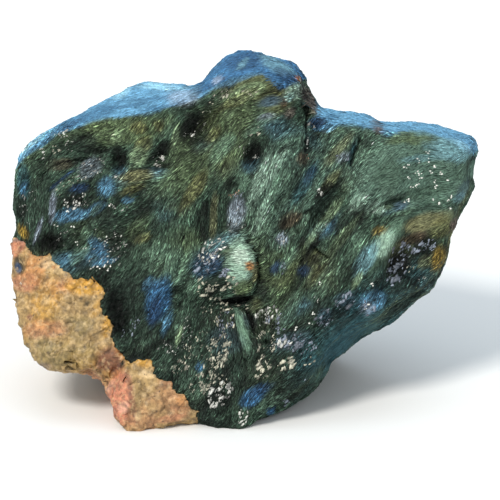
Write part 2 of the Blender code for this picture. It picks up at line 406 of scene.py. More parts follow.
# %% Calm areas and bare areas
CALM = (
    # column, row, half length, half width, turn
    (140, 100, 95, 16, 12), (250, 68, 50, 20, 0), (268, 104, 14, 9, 10), (400, 122, 90, 12, -6),
    (425, 170, 60, 40, 10), (424, 222, 34, 12, 14), (383, 250, 30, 12, 64), (345, 342, 50, 18, 45),
    (242, 330, 24, 6, 107), (240, 264, 15, 22, 0),
)
BARE = (
    (222, 350, 40, 16, 75), (212, 268, 26, 13, 90), (282, 345, 26, 12, 30), (266, 366, 12, 14, 90),
    (398, 264, 18, 12, 60), (424, 247, 14, 8, 20), (62, 145, 14, 9, 0), (78, 200, 14, 8, 10),
)


def area_share(spots, ovals):
    share = np.zeros(len(spots.points))
    for column, row, half_length, half_width, turn in ovals:
        away = oval(spots.places, column, row, half_length, half_width, turn)
        share = np.maximum(share, soft_step(1.2, 0.8, away))
    return share * spots.front


# %% [markdown]
# ## Relief: pits, folds and ridges
#
# Up close the felt is torn and folded. Each line below is one pit or one swell of the visible face: where it
# is, how long and wide its oval is, how it is turned, and how high it stands. A dent has a height below 0.
# A groove is a line through a few places. Dents, grooves and the gaps between clumps also count as hollow,
# and the felt's colour is painted darker there, as painted shade in the hollows.

# %% Move the skin in and out
RELIEF = (
    # column, row, half length, half width, turn, height in mm
    (197, 128, 22, 12, 40, -0.9), (163, 154, 11, 9, 60, -0.8), (120, 164, 12, 9, 100, -0.8),
    (95, 150, 24, 6, 5, -0.6), (52, 176, 34, 8, 40, 0.5), (147, 173, 26, 5, 0, 0.5),
    (140, 132, 26, 11, 50, 0.5), (255, 156, 15, 10, 60, -0.9), (228, 166, 60, 12, 48, 0.6),
    (229, 190, 13, 8, 70, -0.7), (215, 215, 10, 22, 0, -0.4), (275, 196, 46, 12, 62, 0.7),
    (303, 172, 30, 6, 62, -0.5), (327, 202, 16, 9, 50, -1.0), (338, 174, 44, 10, 52, 0.6),
    (356, 150, 16, 4, 72, -0.8), (312, 140, 18, 6, 75, -0.8), (306, 104, 24, 4, 100, -0.7),
    (268, 100, 13, 6, 10, -0.4), (345, 236, 52, 6, 52, -0.8), (365, 214, 50, 8, 50, 0.6),
    (388, 245, 42, 12, 65, 0.8), (392, 202, 14, 3, 12, -0.6), (330, 250, 34, 8, 58, 0.5),
    (306, 262, 30, 6, 62, -0.5), (404, 262, 20, 18, 30, -0.9), (372, 303, 13, 11, 40, 0.9),
    (330, 318, 28, 8, 40, -0.9), (265, 318, 10, 10, 0, -0.9), (240, 330, 26, 6, 102, 0.8),
    (238, 302, 18, 6, 8, -1.3), (210, 300, 16, 9, 30, -0.7), (228, 266, 30, 28, 0, 0.6),
    (160, 306, 34, 14, 70, 0.5), (122, 318, 24, 10, 100, -0.9), (52, 246, 16, 10, 0, -1.0),
    (85, 200, 26, 16, 30, -0.5), (92, 254, 26, 10, 20, 0.5), (125, 240, 12, 16, 0, -0.5),
    (258, 342, 12, 11, 0, 0.5), (266, 341, 3, 3, 0, -0.9), (255, 398, 18, 10, 35, 0.5),
    (300, 365, 26, 8, 30, 0.5),
)
GROOVES = (
    # depth in mm, half width in pixels, and the places it runs through
    (0.8, 2.5, ((214, 303), (226, 300), (238, 302), (249, 299), (256, 292), (260, 280), (258, 262))),
    (0.5, 2.0, ((246, 240), (256, 252), (260, 268))),
    (0.9, 3.0, ((246, 308), (252, 320), (254, 334))),
    (0.5, 2.0, ((233, 312), (238, 330), (243, 350))),
    (0.6, 2.0, ((40, 176), (56, 166), (72, 161), (92, 158))),
    (0.6, 2.0, ((304, 100), (308, 116), (306, 130), (305, 150))),
    (0.7, 2.0, ((360, 140), (354, 152), (350, 166))),
    (0.7, 2.2, ((326, 258), (312, 246), (300, 262))),
    (0.6, 2.2, ((340, 180), (328, 192), (316, 206), (304, 214))),
)
SWELLS = ((5.0, 0.22, 1), (2.4, 0.16, 2), (1.2, 0.10, 3), (0.7, 0.07, 4))   # size mm, height mm, seed
CLUMPS = ((7.0, 1.4, 0.40, 5), (3.2, 0.6, 0.22, 6))   # length, width and height in mm, seed
FLAT_SPOT = 0.35 * MM


def relief(spots):
    """Height of the relief over the smooth skin, in metres, and how hollow it is, from 0 to 1."""
    height = np.zeros(len(spots.points))
    hollow = np.zeros(len(spots.points))
    ragged = rough(spots.points, 1.6 * MM, 20)
    for column, row, half_length, half_width, turn, rise in RELIEF:
        away = oval(spots.places, column, row, half_length, half_width, turn) + 0.2 * ragged
        share = np.exp(-np.abs(away) ** 2.6) * spots.front
        height += rise * MM * share
        if rise < 0:
            hollow = np.maximum(hollow, share * min(1.0, -rise / 0.8) * 0.8)
    for depth, half_width, line in GROOVES:
        away = beside_line(spots.places, line) / half_width + 0.5 * ragged
        share = np.exp(-np.maximum(away, 0) ** 2) * spots.front
        height -= depth * MM * share
        hollow = np.maximum(hollow, share)
    uneven = 1 - 0.75 * area_share(spots, CALM)
    for size, rise, seed in SWELLS:
        height += rise * MM * clouds(spots.points, size * MM, seed) * uneven
    angles = fibre_angles(spots)
    for length, width, rise, seed in CLUMPS:
        clump = streak_clouds(spots, angles, length * MM, width * MM, seed)
        height += rise * MM * clump * uneven
        hollow = np.maximum(hollow, soft_step(-0.15, -0.75, clump) * 0.75 * uneven)
    return height, hollow


smooth_spots = spots_of(skin)
height, hollow = relief(smooth_spots)
moved = smooth_spots.points + smooth_spots.normals * height[:, None]
resting = (smooth_spots.points[:, 2] < FLAT_SPOT) & (smooth_spots.normals[:, 2] < -0.7)
moved[resting, 2] = 0
moved[:, 2] = np.maximum(moved[:, 2], 0)
skin.vertices.foreach_set("co", moved.astype(np.float32).ravel())
skin.update()
carry(skin, "hollow", hollow)
largest = np.abs(moved - smooth_spots.points).max()
print("the relief moves the skin by", round(largest / MM, 2), "mm at most")

# %% [markdown]
# The skin now has more faces than it needs where it is even. A Decimate modifier keeps the detail and drops
# the rest, so that the body stays under 200,000 triangles.

# %% Thin the skin out
BODY_TRIANGLES = 150_000
share = BODY_TRIANGLES / (2 * len(skin.polygons))
body_mesh = applied("actinolite_body", skin, [
    ("DECIMATE", {"ratio": share, "use_collapse_triangulate": True}),
])
body_spots = spots_of(body_mesh)
print("thinned out to", round(share, 2), "of the skin's triangles")

# %% Put the body in place of the solid
def add_piece(mesh, material=None):
    """A piece of the stone, which rides on its one body."""
    if material:
        mesh.materials.append(material)
    piece = bpy.data.objects.new(mesh.name, mesh)
    bpy.context.scene.collection.objects.link(piece)
    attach(piece, "root")
    print(piece.name, "has", len(mesh.polygons), "triangles")
    return piece


body_mesh.shade_smooth()
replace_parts(add_piece(body_mesh), "rough_actinolite")

# %% [markdown]
# ## Paints
#
# A stone's colours are best mixed from a few named paints, as a painter would. They are written as the hex
# codes that any colour picker shows, which are sRGB. Blender's shaders count in linear light, so one helper
# converts them.

# %% The paints
def linear(code):
    """An sRGB hex code as linear red, green and blue."""
    values = np.array([int(code[i:i + 2], 16) for i in (1, 3, 5)]) / 255
    return np.where(values <= 0.04045, values / 12.92, ((values + 0.055) / 1.055) ** 2.4)


# Some paints stand for light and shade, not for the stone's own colour. The pale and mid blues, and most uses
# of navy, teal and slate, are painted reflection of the sky. The near-black is painted shade in pits, creases
# and notches, and also serves for a few dark specks.
PAINTS = {name: linear(code) for name, code in {
    "shade_and_speck_black": "#101812", "deep": "#25322a", "pine": "#3f5546", "moss": "#5f6f4e", "olive": "#6d6b42",
    "khaki": "#7c7b58", "sage": "#71907a", "pale_sage": "#93ab86", "mint": "#a6c4b0", "grey_green": "#5f7a6c",
    "slate": "#4c6472", "sea": "#2c5058", "teal": "#7299a0", "sky": "#92c2da", "sky_reflection_blue": "#6496b6",
    "sky_reflection_steel": "#456f8e", "bump": "#3c6990", "navy": "#27405f", "lilac": "#98a2b2", "white": "#eeeee6",
    "cream": "#d9d5bf", "brown": "#5a4736", "ochre": "#8d7430", "mauve": "#6f5f5a", "rust": "#a5672f",
    "apricot": "#b07a48", "amber": "#bb8a35", "salmon": "#b8735a", "blush": "#dba58c", "tan": "#a08458",
    "straw": "#cfb184", "drab": "#7e6e46", "liver": "#704638",
}.items()}
print(len(PAINTS), "paints")

# %% [markdown]
# ## Where each paint goes
#
# Each wash is one soft patch of paint, as an oval: its paint, column, row, half length, half width, turn in
# degrees (rising to the right) and strength. They go on in this order, so later ones cover earlier ones.
# First come the broad areas of the felt, and then what is seen in each part of it.

# %% Washes: the broad areas, and the narrow top faces
BROAD_WASHES = (
    ("deep", 120, 300, 60, 60, 0, 0.8), ("grey_green", 410, 170, 70, 46, 0, 0.9),
    ("grey_green", 300, 180, 90, 40, 55, 0.6), ("moss", 120, 132, 60, 14, 6, 0.8),
    ("moss", 215, 140, 70, 30, 45, 0.7), ("deep", 60, 220, 50, 40, 0, 0.6),
    # Painted shade: the sea wash at the lower right darkens the stone's underside.
    ("deep", 220, 360, 90, 50, 0, 0.7), ("sea", 370, 320, 90, 34, 40, 0.8),
)
# The blues, teal and navy of the narrow top faces are painted reflection of the sky.
TOP_WASHES = (
    ("sky", 34, 140, 26, 5, 45, 0.7), ("sky_reflection_steel", 72, 122, 18, 8, 28, 0.8),
    ("sky_reflection_steel", 98, 114, 24, 7, 22, 0.7), ("sky", 122, 92, 10, 5, 40, 0.8), ("sky", 160, 87, 26, 4, -4, 0.9),
    ("sky_reflection_steel", 120, 108, 30, 2, 8, 0.6), ("sky_reflection_steel", 150, 100, 30, 1.6, 4, 0.6),
    ("sky_reflection_steel", 165, 108, 22, 1.8, 10, 0.5), ("lilac", 184, 99, 16, 8, 0, 0.5),
    ("slate", 196, 94, 8, 5, 20, 0.6), ("navy", 66, 129, 14, 3, 28, 0.5), ("navy", 246, 62, 22, 9, 10, 0.5),
    ("teal", 242, 65, 8, 3, 50, 0.5), ("lilac", 217, 82, 8, 4, 40, 0.6), ("teal", 276, 66, 18, 8, -30, 0.6),
    ("navy", 286, 78, 16, 6, -35, 0.6), ("rust", 298, 79, 2, 3, 0, 0.8),
)
print(len(BROAD_WASHES) + len(TOP_WASHES), "washes")

# %% Washes: the left of the felt
# The blue patches of the left, on faces that turn up, are painted reflection of the sky, and its near-black
# patches are painted shade.
LEFT_WASHES = (
    ("deep", 84, 142, 16, 11, 0, 0.8), ("moss", 96, 128, 16, 5, 10, 0.7),
    ("pale_sage", 118, 137, 7, 5, 60, 0.6), ("olive", 140, 129, 8, 6, 0, 0.6),
    ("olive", 159, 127, 7, 7, 60, 0.6), ("olive", 145, 145, 10, 7, 40, 0.5),
    ("pale_sage", 139, 158, 9, 9, 80, 0.7), ("pale_sage", 176, 135, 12, 4, 75, 0.7),
    ("shade_and_speck_black", 190, 126, 18, 9, 48, 0.9), ("shade_and_speck_black", 198, 138, 12, 7, 40, 0.7), ("shade_and_speck_black", 163, 149, 9, 7, 60, 0.9),
    ("shade_and_speck_black", 121, 156, 12, 6, 110, 0.9), ("shade_and_speck_black", 155, 168, 20, 3, 8, 0.8), ("shade_and_speck_black", 98, 151, 18, 4, 0, 0.6),
    ("brown", 60, 165, 14, 6, 10, 0.5), ("pine", 38, 166, 16, 8, 0, 0.6), ("sea", 24, 182, 18, 6, 95, 0.7),
    ("sky_reflection_steel", 24, 190, 7, 3, 80, 0.6), ("navy", 62, 181, 16, 2, 40, 0.8), ("sage", 68, 184, 16, 5, 40, 0.5),
    ("lilac", 91, 169, 12, 9, 45, 0.4), ("sky_reflection_blue", 106, 188, 10, 10, 30, 0.75),
    ("navy", 80, 189, 10, 5, 10, 0.9), ("shade_and_speck_black", 76, 201, 10, 6, 10, 0.8), ("sky_reflection_blue", 72, 216, 18, 7, 12, 0.8),
    ("sky_reflection_blue", 95, 210, 12, 5, 30, 0.6), ("lilac", 53, 209, 16, 3, 85, 0.6),
    ("khaki", 136, 177, 20, 5, 6, 0.7), ("olive", 133, 190, 12, 4, 20, 0.6),
    ("sage", 96, 211, 9, 3, 45, 0.6), ("pine", 120, 218, 18, 12, 40, 0.7),
    ("sage", 88, 232, 14, 5, 50, 0.4), ("deep", 108, 220, 9, 10, 90, 0.7),
    ("deep", 150, 204, 18, 10, 30, 0.6), ("deep", 22, 212, 14, 7, 100, 0.7),
    ("shade_and_speck_black", 52, 241, 12, 10, 0, 0.95), ("lilac", 39, 231, 14, 2.5, 72, 0.6),
    ("ochre", 24, 232, 8, 5, 120, 0.9), ("sky_reflection_blue", 128, 201, 6, 3, 0, 0.6),
    ("sky_reflection_steel", 100, 251, 15, 8, 130, 0.7), ("sky_reflection_blue", 104, 262, 12, 4, 10, 0.7),
    ("olive", 144, 239, 8, 4, 20, 0.5), ("moss", 140, 226, 16, 8, 50, 0.4),
    ("sage", 80, 254, 14, 7, 40, 0.5), ("deep", 116, 238, 14, 8, 60, 0.6),
    ("pine", 125, 268, 26, 9, 40, 0.6), ("shade_and_speck_black", 116, 315, 26, 8, 100, 0.9),
    ("shade_and_speck_black", 108, 285, 14, 4, 120, 0.7), ("bump", 160, 296, 24, 12, 75, 0.8),
    ("navy", 155, 312, 16, 6, 75, 0.8), ("sky_reflection_blue", 168, 322, 14, 4, 70, 0.5),
    ("sky_reflection_steel", 150, 284, 10, 6, 60, 0.5),
)
print(len(LEFT_WASHES), "washes")

# %% Washes: the middle of the felt
# The blue patches of the middle are painted reflection of the sky, and its near-black patches are painted
# shade.
MIDDLE_WASHES = (
    ("sky_reflection_steel", 236, 82, 28, 3, 20, 0.7), ("pale_sage", 244, 95, 20, 8, 25, 0.6),
    ("olive", 236, 102, 22, 6, 28, 0.5), ("slate", 268, 103, 13, 6, 15, 0.9),
    ("lilac", 265, 118, 9, 4, 15, 0.7), ("mint", 293, 94, 11, 8, 35, 0.7),
    ("teal", 287, 100, 8, 4, 35, 0.5), ("brown", 284, 104, 3, 5, 0, 0.8),
    # Painted shade: the grey-brown and near-black near column 305 to 310 shade the bump's right facet.
    ("mauve", 290, 114, 7, 5, 50, 0.6), ("mauve", 309, 101, 14, 6, 115, 0.8),
    ("shade_and_speck_black", 305, 96, 14, 1.6, 105, 0.7), ("navy", 316, 124, 9, 6, 10, 0.9),
    ("sky", 328, 131, 7, 2, 15, 0.9), ("deep", 304, 148, 12, 5, 80, 0.8), ("brown", 302, 161, 6, 6, 0, 0.6),
    ("olive", 213, 137, 10, 5, 50, 0.5), ("sage", 222, 150, 22, 8, 50, 0.6),
    ("shade_and_speck_black", 252, 153, 11, 8, 60, 0.9), ("sage", 256, 128, 22, 6, 40, 0.4),
    ("mint", 258, 186, 26, 8, 68, 0.55), ("mint", 274, 168, 24, 6, 60, 0.4),
    ("olive", 195, 190, 26, 7, 60, 0.6), ("shade_and_speck_black", 230, 185, 10, 6, 60, 0.85),
    ("lilac", 237, 212, 18, 9, 80, 0.6), ("khaki", 214, 214, 22, 4, 86, 0.6),
    ("shade_and_speck_black", 204, 222, 24, 5, 86, 0.8), ("sage", 280, 190, 24, 10, 62, 0.5),
    ("sea", 304, 184, 24, 7, 60, 0.75), ("navy", 309, 176, 12, 4, 60, 0.5),
    ("khaki", 338, 150, 20, 7, 50, 0.5), ("olive", 330, 182, 16, 5, 50, 0.6),
    ("shade_and_speck_black", 322, 192, 14, 4, 45, 0.85), ("shade_and_speck_black", 336, 187, 6, 3, 45, 0.7),
    ("sea", 351, 154, 13, 4, 75, 0.85), ("lilac", 342, 158, 8, 5, 40, 0.5),
    ("sage", 362, 152, 16, 8, 50, 0.5), ("shade_and_speck_black", 292, 223, 14, 7, 40, 0.75),
    ("brown", 290, 220, 12, 7, 30, 0.5), ("mint", 262, 214, 24, 5, 70, 0.4),
    ("lilac", 282, 240, 5, 6, 70, 0.6), ("navy", 277, 268, 10, 6, 30, 0.85),
    ("navy", 303, 272, 8, 7, 50, 0.85), ("sage", 286, 262, 18, 5, 60, 0.5),
    ("pale_sage", 324, 222, 30, 5, 52, 0.55), ("pale_sage", 340, 240, 30, 4, 52, 0.5),
    ("shade_and_speck_black", 311, 248, 18, 3, 55, 0.85), ("shade_and_speck_black", 262, 290, 14, 8, 100, 0.6),
    ("sage", 292, 306, 18, 7, 70, 0.5), ("sage", 320, 284, 18, 8, 60, 0.5),
)
print(len(MIDDLE_WASHES), "washes")

# %% Washes: the right of the felt
# The teal and blue patches of the right are painted reflection of the sky, and its near-black patches are
# painted shade.
RIGHT_WASHES = (
    ("brown", 376, 126, 8, 6, 110, 0.6), ("mauve", 378, 132, 5, 4, 0, 0.6),
    ("moss", 398, 140, 16, 5, 15, 0.7), ("moss", 420, 141, 18, 5, 5, 0.7),
    ("deep", 435, 142, 4, 2, 10, 0.8), ("teal", 450, 150, 26, 10, -12, 0.9),
    ("teal", 420, 159, 22, 4, 5, 0.5), ("sky", 462, 146, 10, 4, -30, 0.4),
    # Painted shade: the dark strokes near rows 193 to 197 darken the crease below the smooth right face.
    ("pine", 388, 176, 14, 16, 0, 0.5), ("pine", 420, 193, 34, 6, 10, 0.7),
    ("pine", 444, 178, 20, 8, 10, 0.4), ("deep", 396, 197, 12, 3, 15, 0.7),
    ("slate", 398, 207, 10, 5, 12, 0.9), ("mint", 376, 209, 12, 7, 10, 0.55),
    ("mint", 356, 204, 12, 6, 40, 0.4), ("teal", 458, 198, 7, 4, 30, 0.7),
    ("pine", 436, 205, 22, 7, 10, 0.5), ("khaki", 424, 222, 26, 8, 15, 0.85),
    ("olive", 440, 228, 14, 10, 40, 0.7), ("ochre", 379, 231, 7, 4, 10, 0.6),
    ("mauve", 454, 225, 7, 5, 70, 0.8), ("brown", 410, 240, 16, 6, 20, 0.6),
    ("shade_and_speck_black", 425, 247, 16, 8, 20, 0.8), ("shade_and_speck_black", 396, 266, 16, 11, 60, 0.9),
    ("ochre", 437, 258, 14, 7, 75, 0.8), ("olive", 424, 262, 8, 6, 40, 0.5),
    ("mint", 383, 245, 16, 8, 60, 0.7), ("teal", 364, 262, 20, 8, 55, 0.8),
    ("pale_sage", 356, 280, 10, 4, 60, 0.6), ("sage", 345, 262, 26, 5, 55, 0.5),
    ("deep", 400, 285, 16, 8, 10, 0.8), ("teal", 424, 286, 8, 5, 20, 0.6),
    ("slate", 444, 272, 6, 3, 80, 0.7), ("deep", 470, 165, 11, 5, 80, 0.8),
    ("grey_green", 471, 170, 8, 4, 80, 0.9), ("shade_and_speck_black", 469, 181, 7, 1.6, 12, 0.9),
    ("shade_and_speck_black", 474, 158, 5, 1.6, 30, 0.8), ("slate", 462, 190, 10, 5, 60, 0.4),
)
print(len(RIGHT_WASHES), "washes")

# %% Washes: the foot and the knob
# The blue patches of the foot are painted reflection of the sky, and its near-black patches are painted
# shade.
FOOT_WASHES = (
    ("navy", 208, 264, 14, 18, 100, 0.8), ("shade_and_speck_black", 212, 288, 14, 10, 30, 0.6),
    ("mint", 240, 262, 13, 20, 0, 0.9), ("white", 240, 256, 8, 8, 0, 0.25),
    ("apricot", 250, 266, 4, 4, 0, 0.9), ("khaki", 255, 274, 3, 8, 0, 0.8),
    ("moss", 243, 288, 10, 7, 20, 0.9), ("shade_and_speck_black", 237, 300, 17, 5, 8, 0.95),
    ("shade_and_speck_black", 252, 322, 5, 10, 20, 0.9), ("sage", 242, 330, 22, 5, 107, 0.9),
    ("sage", 179, 324, 18, 4, 75, 0.6), ("pale_sage", 179, 336, 9, 3, 75, 0.7),
    ("shade_and_speck_black", 150, 352, 26, 8, 30, 0.7), ("pine", 160, 360, 14, 8, 60, 0.6),
    ("pine", 200, 330, 12, 14, 0, 0.5), ("slate", 224, 340, 14, 18, 90, 0.3),
    ("slate", 290, 342, 20, 9, 20, 0.5), ("sky_reflection_steel", 200, 367, 4, 4, 0, 0.8),
    ("bump", 253, 396, 14, 8, 40, 0.85), ("navy", 262, 388, 12, 5, 20, 0.6),
    ("bump", 270, 410, 4, 4, 0, 0.9), ("deep", 206, 410, 10, 14, 0, 0.7), ("pine", 225, 415, 18, 9, 0, 0.5),
    ("deep", 290, 385, 26, 12, 30, 0.6), ("deep", 312, 312, 26, 7, 35, 0.6),
    ("slate", 324, 318, 8, 8, 0, 0.7), ("slate", 344, 300, 9, 7, 0, 0.6),
    ("sky_reflection_blue", 371, 302, 14, 10, 40, 0.7), ("lilac", 366, 308, 7, 6, 0, 0.6),
    # Painted shade: the dark teal and near-black along the lower right darken the underside.
    ("sea", 345, 342, 32, 14, 45, 0.9), ("deep", 300, 392, 26, 5, 25, 0.5),
    ("deep", 405, 300, 40, 6, 35, 0.8), ("shade_and_speck_black", 350, 318, 30, 4, 38, 0.6),
)
DETAIL_WASHES = TOP_WASHES + LEFT_WASHES + MIDDLE_WASHES + RIGHT_WASHES + FOOT_WASHES
print(len(FOOT_WASHES), "washes, and", len(DETAIL_WASHES), "in all with the ones above")

# %% [markdown]
# The narrow top faces and the feldspar have clear borders, so they are outlines of a few points each. Where
# an outline follows the edge of the stone, it runs outside it, so that the paint reaches the very edge.

# %% Outlines of the areas with a clear border
BAND = (
    (8, 176), (8, 110), (60, 90), (110, 66), (200, 66), (216, 86), (205, 97), (182, 106), (145, 115),
    (122, 119), (100, 119), (74, 129), (56, 134), (40, 146), (26, 158), (18, 168),
)
BUMP = (
    (196, 98), (196, 60), (240, 38), (300, 50), (312, 78), (303, 80), (298, 84), (286, 89), (279, 91),
    (270, 82), (262, 75), (249, 75), (233, 79), (218, 85), (204, 93),
)
STRIP = (
    (312, 132), (316, 100), (340, 100), (400, 112), (470, 128), (490, 150), (464, 154), (446, 140),
    (433, 134), (410, 132), (393, 135), (385, 137), (376, 132), (362, 127), (352, 124), (339, 125),
    (326, 132),
)
FELDSPAR = (
    (0, 238), (14, 238), (24, 241), (29, 249), (38, 255), (46, 256), (51, 254), (54, 261), (64, 269),
    (70, 271), (75, 277), (92, 280), (100, 283), (105, 289), (106, 296), (102, 303), (104, 313),
    (110, 319), (115, 325), (114, 332), (116, 343), (123, 351), (128, 358), (133, 361), (139, 357),
    (147, 357), (154, 362), (155, 373), (161, 378), (171, 382), (175, 390), (185, 394), (191, 400),
    (192, 405), (198, 409), (198, 460), (0, 460),
)
print("the feldspar's border has", len(FELDSPAR), "points")


# %% Mix the paint of any spot
# painted reflection: the narrow top faces are painted blue, for the sky that they reflect
FACES = (("sky_reflection_blue", BAND), ("bump", BUMP), ("sky_reflection_blue", STRIP))
# paint, share of it, size of its swirls in mm, seed
NATURAL_MIX = (("moss", 0.7, 9, 31), ("sage", 0.7, 6, 33), ("deep", 0.9, 5, 35), ("olive", 0.6, 7, 37))


def washed(colours, paint, share):
    return colours * (1 - share[:, None]) + PAINTS[paint] * share[:, None]


def with_washes(colours, spots, swirl, washes):
    for paint, column, row, half_length, half_width, turn, strength in washes:
        away = oval(spots.places, column, row, half_length, half_width, turn) + 0.25 * swirl
        colours = washed(colours, paint, soft_step(1.3, 0.6, away) * strength)
    return colours


FELDSPAR_RAGGED = 2.0                # pixels that its border strays


def felt_colours(spots):
    """The felt's colour at each spot, with painted shade and painted sky reflection, before the light and
    shade of its fibres.
    """
    swirl = rough(spots.points, 3.0 * MM, 30)
    plain = np.tile(PAINTS["pine"], (len(spots.points), 1))
    for paint, share, size, seed in NATURAL_MIX:
        plain = washed(plain, paint, soft_step(0.1, 0.9, rough(spots.points, size * MM, seed)) * share)
    # painted reflection: the faces that point up take sky blue
    plain = washed(plain, "sky_reflection_blue", spots.top * 0.8)
    colours = with_washes(plain, spots, swirl, BROAD_WASHES)
    for paint, outline in FACES:
        border = inside(spots.places, outline) + 1.5 * swirl
        colours = washed(colours, paint, soft_step(-1.5, 2.0, border) * 0.95)
    colours = with_washes(colours, spots, swirl, DETAIL_WASHES)
    felt = plain + (colours - plain) * spots.front[:, None]
    # painted shade: the hollows are darkened by up to 80 percent
    return felt * (1 - 0.8 * spots.hollow)[:, None]


def feldspar_border(spots):
    """Distance in pixels to the feldspar's border, positive inside it. It grows narrower towards the back."""
    places = spots.places.copy()
    behind = np.maximum(spots.depth - FACE_DEPTH, 0) / PIXEL
    places[:, 0] += behind * 0.25
    places[:, 1] -= behind * 0.10
    return inside(places, FELDSPAR) + FELDSPAR_RAGGED * rough(spots.points, 1.6 * MM, 50)


# %% [markdown]
# ## Writing finishes as arithmetic
#
# A node tree is easier to read as a formula. This class wraps one socket, so that `mask * 0.5 + noise` adds
# the two Math nodes that say so. A finish makes every other node with one method: its type, its settings,
# and what its sockets take.

# %% Sockets that take part in arithmetic
class Value:
    """A socket of a finish's node tree."""

    def __init__(self, finish, socket):
        self.finish = finish
        self.socket = socket

    def maths(self, operation, *values):
        return self.finish.node("ShaderNodeMath", {"operation": operation}, dict(enumerate(values)))

    def __add__(self, other):
        return self.maths("ADD", self, other)

    def __sub__(self, other):
        return self.maths("SUBTRACT", self, other)

    def __rsub__(self, other):
        return self.maths("SUBTRACT", other, self)

    def __mul__(self, other):
        return self.maths("MULTIPLY", self, other)

    __radd__ = __add__
    __rmul__ = __mul__


class Finish:
    """A material, and the few kinds of node that this stone's finishes use."""

    def __init__(self, name):
        self.material = bpy.data.materials.new(name)
        self.material.use_nodes = True
        self.tree = self.material.node_tree
        self.shader = self.tree.nodes["Principled BSDF"]

    def node(self, kind, settings=None, inputs=None, output=0):
        made = self.tree.nodes.new(kind)
        for setting, value in (settings or {}).items():
            setattr(made, setting, value)
        for socket, value in (inputs or {}).items():
            if isinstance(value, Value):
                self.tree.links.new(value.socket, made.inputs[socket])
            else:
                made.inputs[socket].default_value = value
        return Value(self, made.outputs[output])

    def painted(self, name, output="Color"):
        """A value that is stored at each vertex."""
        return self.node("ShaderNodeAttribute", {"attribute_name": name}, output=output)

    def place(self):
        return self.node("ShaderNodeTexCoord", output="Object")

    def scaled(self, vector, scale):
        return self.node("ShaderNodeVectorMath", {"operation": "MULTIPLY"}, {0: vector, 1: scale})

    def noise(self, vector, size, detail=2.0, roughness=0.5, distortion=0.0):
        inputs = {"Vector": vector, "Scale": 1 / size, "Detail": detail, "Roughness": roughness,
                  "Distortion": distortion}
        return self.node("ShaderNodeTexNoise", {}, inputs)

    def between(self, value, low, high):
        """0 below low, 1 above high, and a soft step between them."""
        return self.node("ShaderNodeMapRange", {"interpolation_type": "SMOOTHSTEP"},
                         {"Value": value, "From Min": low, "From Max": high})

    def mixed(self, share, first, second):
        """Two colours, mixed by a share from 0 to 1."""
        first = first if isinstance(first, Value) else (*first, 1)
        second = second if isinstance(second, Value) else (*second, 1)
        return self.node("ShaderNodeMix", {"data_type": "RGBA"}, {0: share, 6: first, 7: second}, output=2)

    def brightened(self, colour, factor):
        """A colour times a number."""
        return self.node("ShaderNodeVectorMath", {"operation": "SCALE"}, {0: colour, "Scale": factor})

    def surface(self, colour, roughness, specular, bump=None, bump_depth=0.0):
        """Feeds the Principled shader."""
        self.shader.inputs["Specular IOR Level"].default_value = specular
        for socket, value in (("Base Color", colour), ("Roughness", roughness)):
            if isinstance(value, Value):
                self.tree.links.new(value.socket, self.shader.inputs[socket])
            else:
                self.shader.inputs[socket].default_value = value
        if bump is not None:
            inputs = {"Height": bump, "Distance": bump_depth, "Strength": 1.0}
            normal = self.node("ShaderNodeBump", {}, inputs)
            self.tree.links.new(normal.socket, self.shader.inputs["Normal"])
        return self.material


# %% [markdown]
# ## The finish of the body
#
# Below the fibres the body shows the same grain, much finer than its mesh. Its streaks are noise in the same
# six directions. Two colour attributes hold the six shares of each vertex.

# %% The body's finish
def paint_vertices(mesh, name, colours):
    """Stores a colour at each vertex."""
    attribute = mesh.color_attributes.new(name, "FLOAT_COLOR", "POINT")
    attribute.data.foreach_set("color", np.column_stack((colours, np.ones(len(colours)))).ravel())


def streaks(finish, length, width):
    """Noise drawn out along the fibres."""
    shares = []
    for name in ("streaks_a", "streaks_b"):
        for output in ("Red", "Green", "Blue"):
            parts = finish.node("ShaderNodeSeparateColor", {}, {"Color": finish.painted(name)}, output=output)
            shares.append(parts)
    total = 0.0
    for share, turn in zip(shares, STREAK_TURNS):
        turned = finish.node("ShaderNodeVectorRotate", {"rotation_type": "AXIS_ANGLE"},
                             {"Vector": finish.place(), "Axis": tuple(INTO), "Angle": turn})
        drawn_out = finish.scaled(turned, (1 / length, 1 / width, 1 / width))
        total = share * finish.noise(drawn_out, 1.0, detail=2.0) + total
    return total


def felt_body_finish():
    finish = Finish("felt_body")
    grain = streaks(finish, 2.6 * MM, 0.16 * MM)
    coarse = finish.noise(finish.place(), 1.2 * MM, detail=4.0)
    light = finish.between(grain, 0.36, 0.64) * 1.1 + finish.between(coarse, 0.35, 0.7) * 0.3 + 0.25
    colour = finish.brightened(finish.painted("tint"), light)
    gloss = 0.62 - finish.between(grain, 0.4, 0.6) * 0.2
    return finish.surface(colour, gloss, 0.2, grain + coarse * 0.5, 0.25 * MM)


# %% Paint and finish the body
# painted shade: the body's paint is darkened where it shows in the gaps between the fibres
SHADE_BETWEEN_FIBRES = 0.55                    # the body is darker than the fibres that lie on it
body_angles = fibre_angles(body_spots)
body_tints = felt_colours(body_spots)
paint_vertices(body_mesh, "tint", body_tints * SHADE_BETWEEN_FIBRES)
body_shares = streak_shares(body_angles)
paint_vertices(body_mesh, "streaks_a", body_shares[:, :3])
paint_vertices(body_mesh, "streaks_b", body_shares[:, 3:])
body_mesh.materials.clear()
body_mesh.materials.append(felt_body_finish())
print("the body's mean colour is", np.round(body_tints.mean(axis=0), 3))

# %% [markdown]
# ## The fibres
#
# Each fibre is a real thin needle: a spindle with three sides and a point at each end, whose tips are moved
# to the skin so that it lies along it. Particles or hair would be quicker to set up, but needles that are
# plain mesh can be exported and baked. They are made in bulk with arrays, because a loop over 100,000
# objects would take minutes.

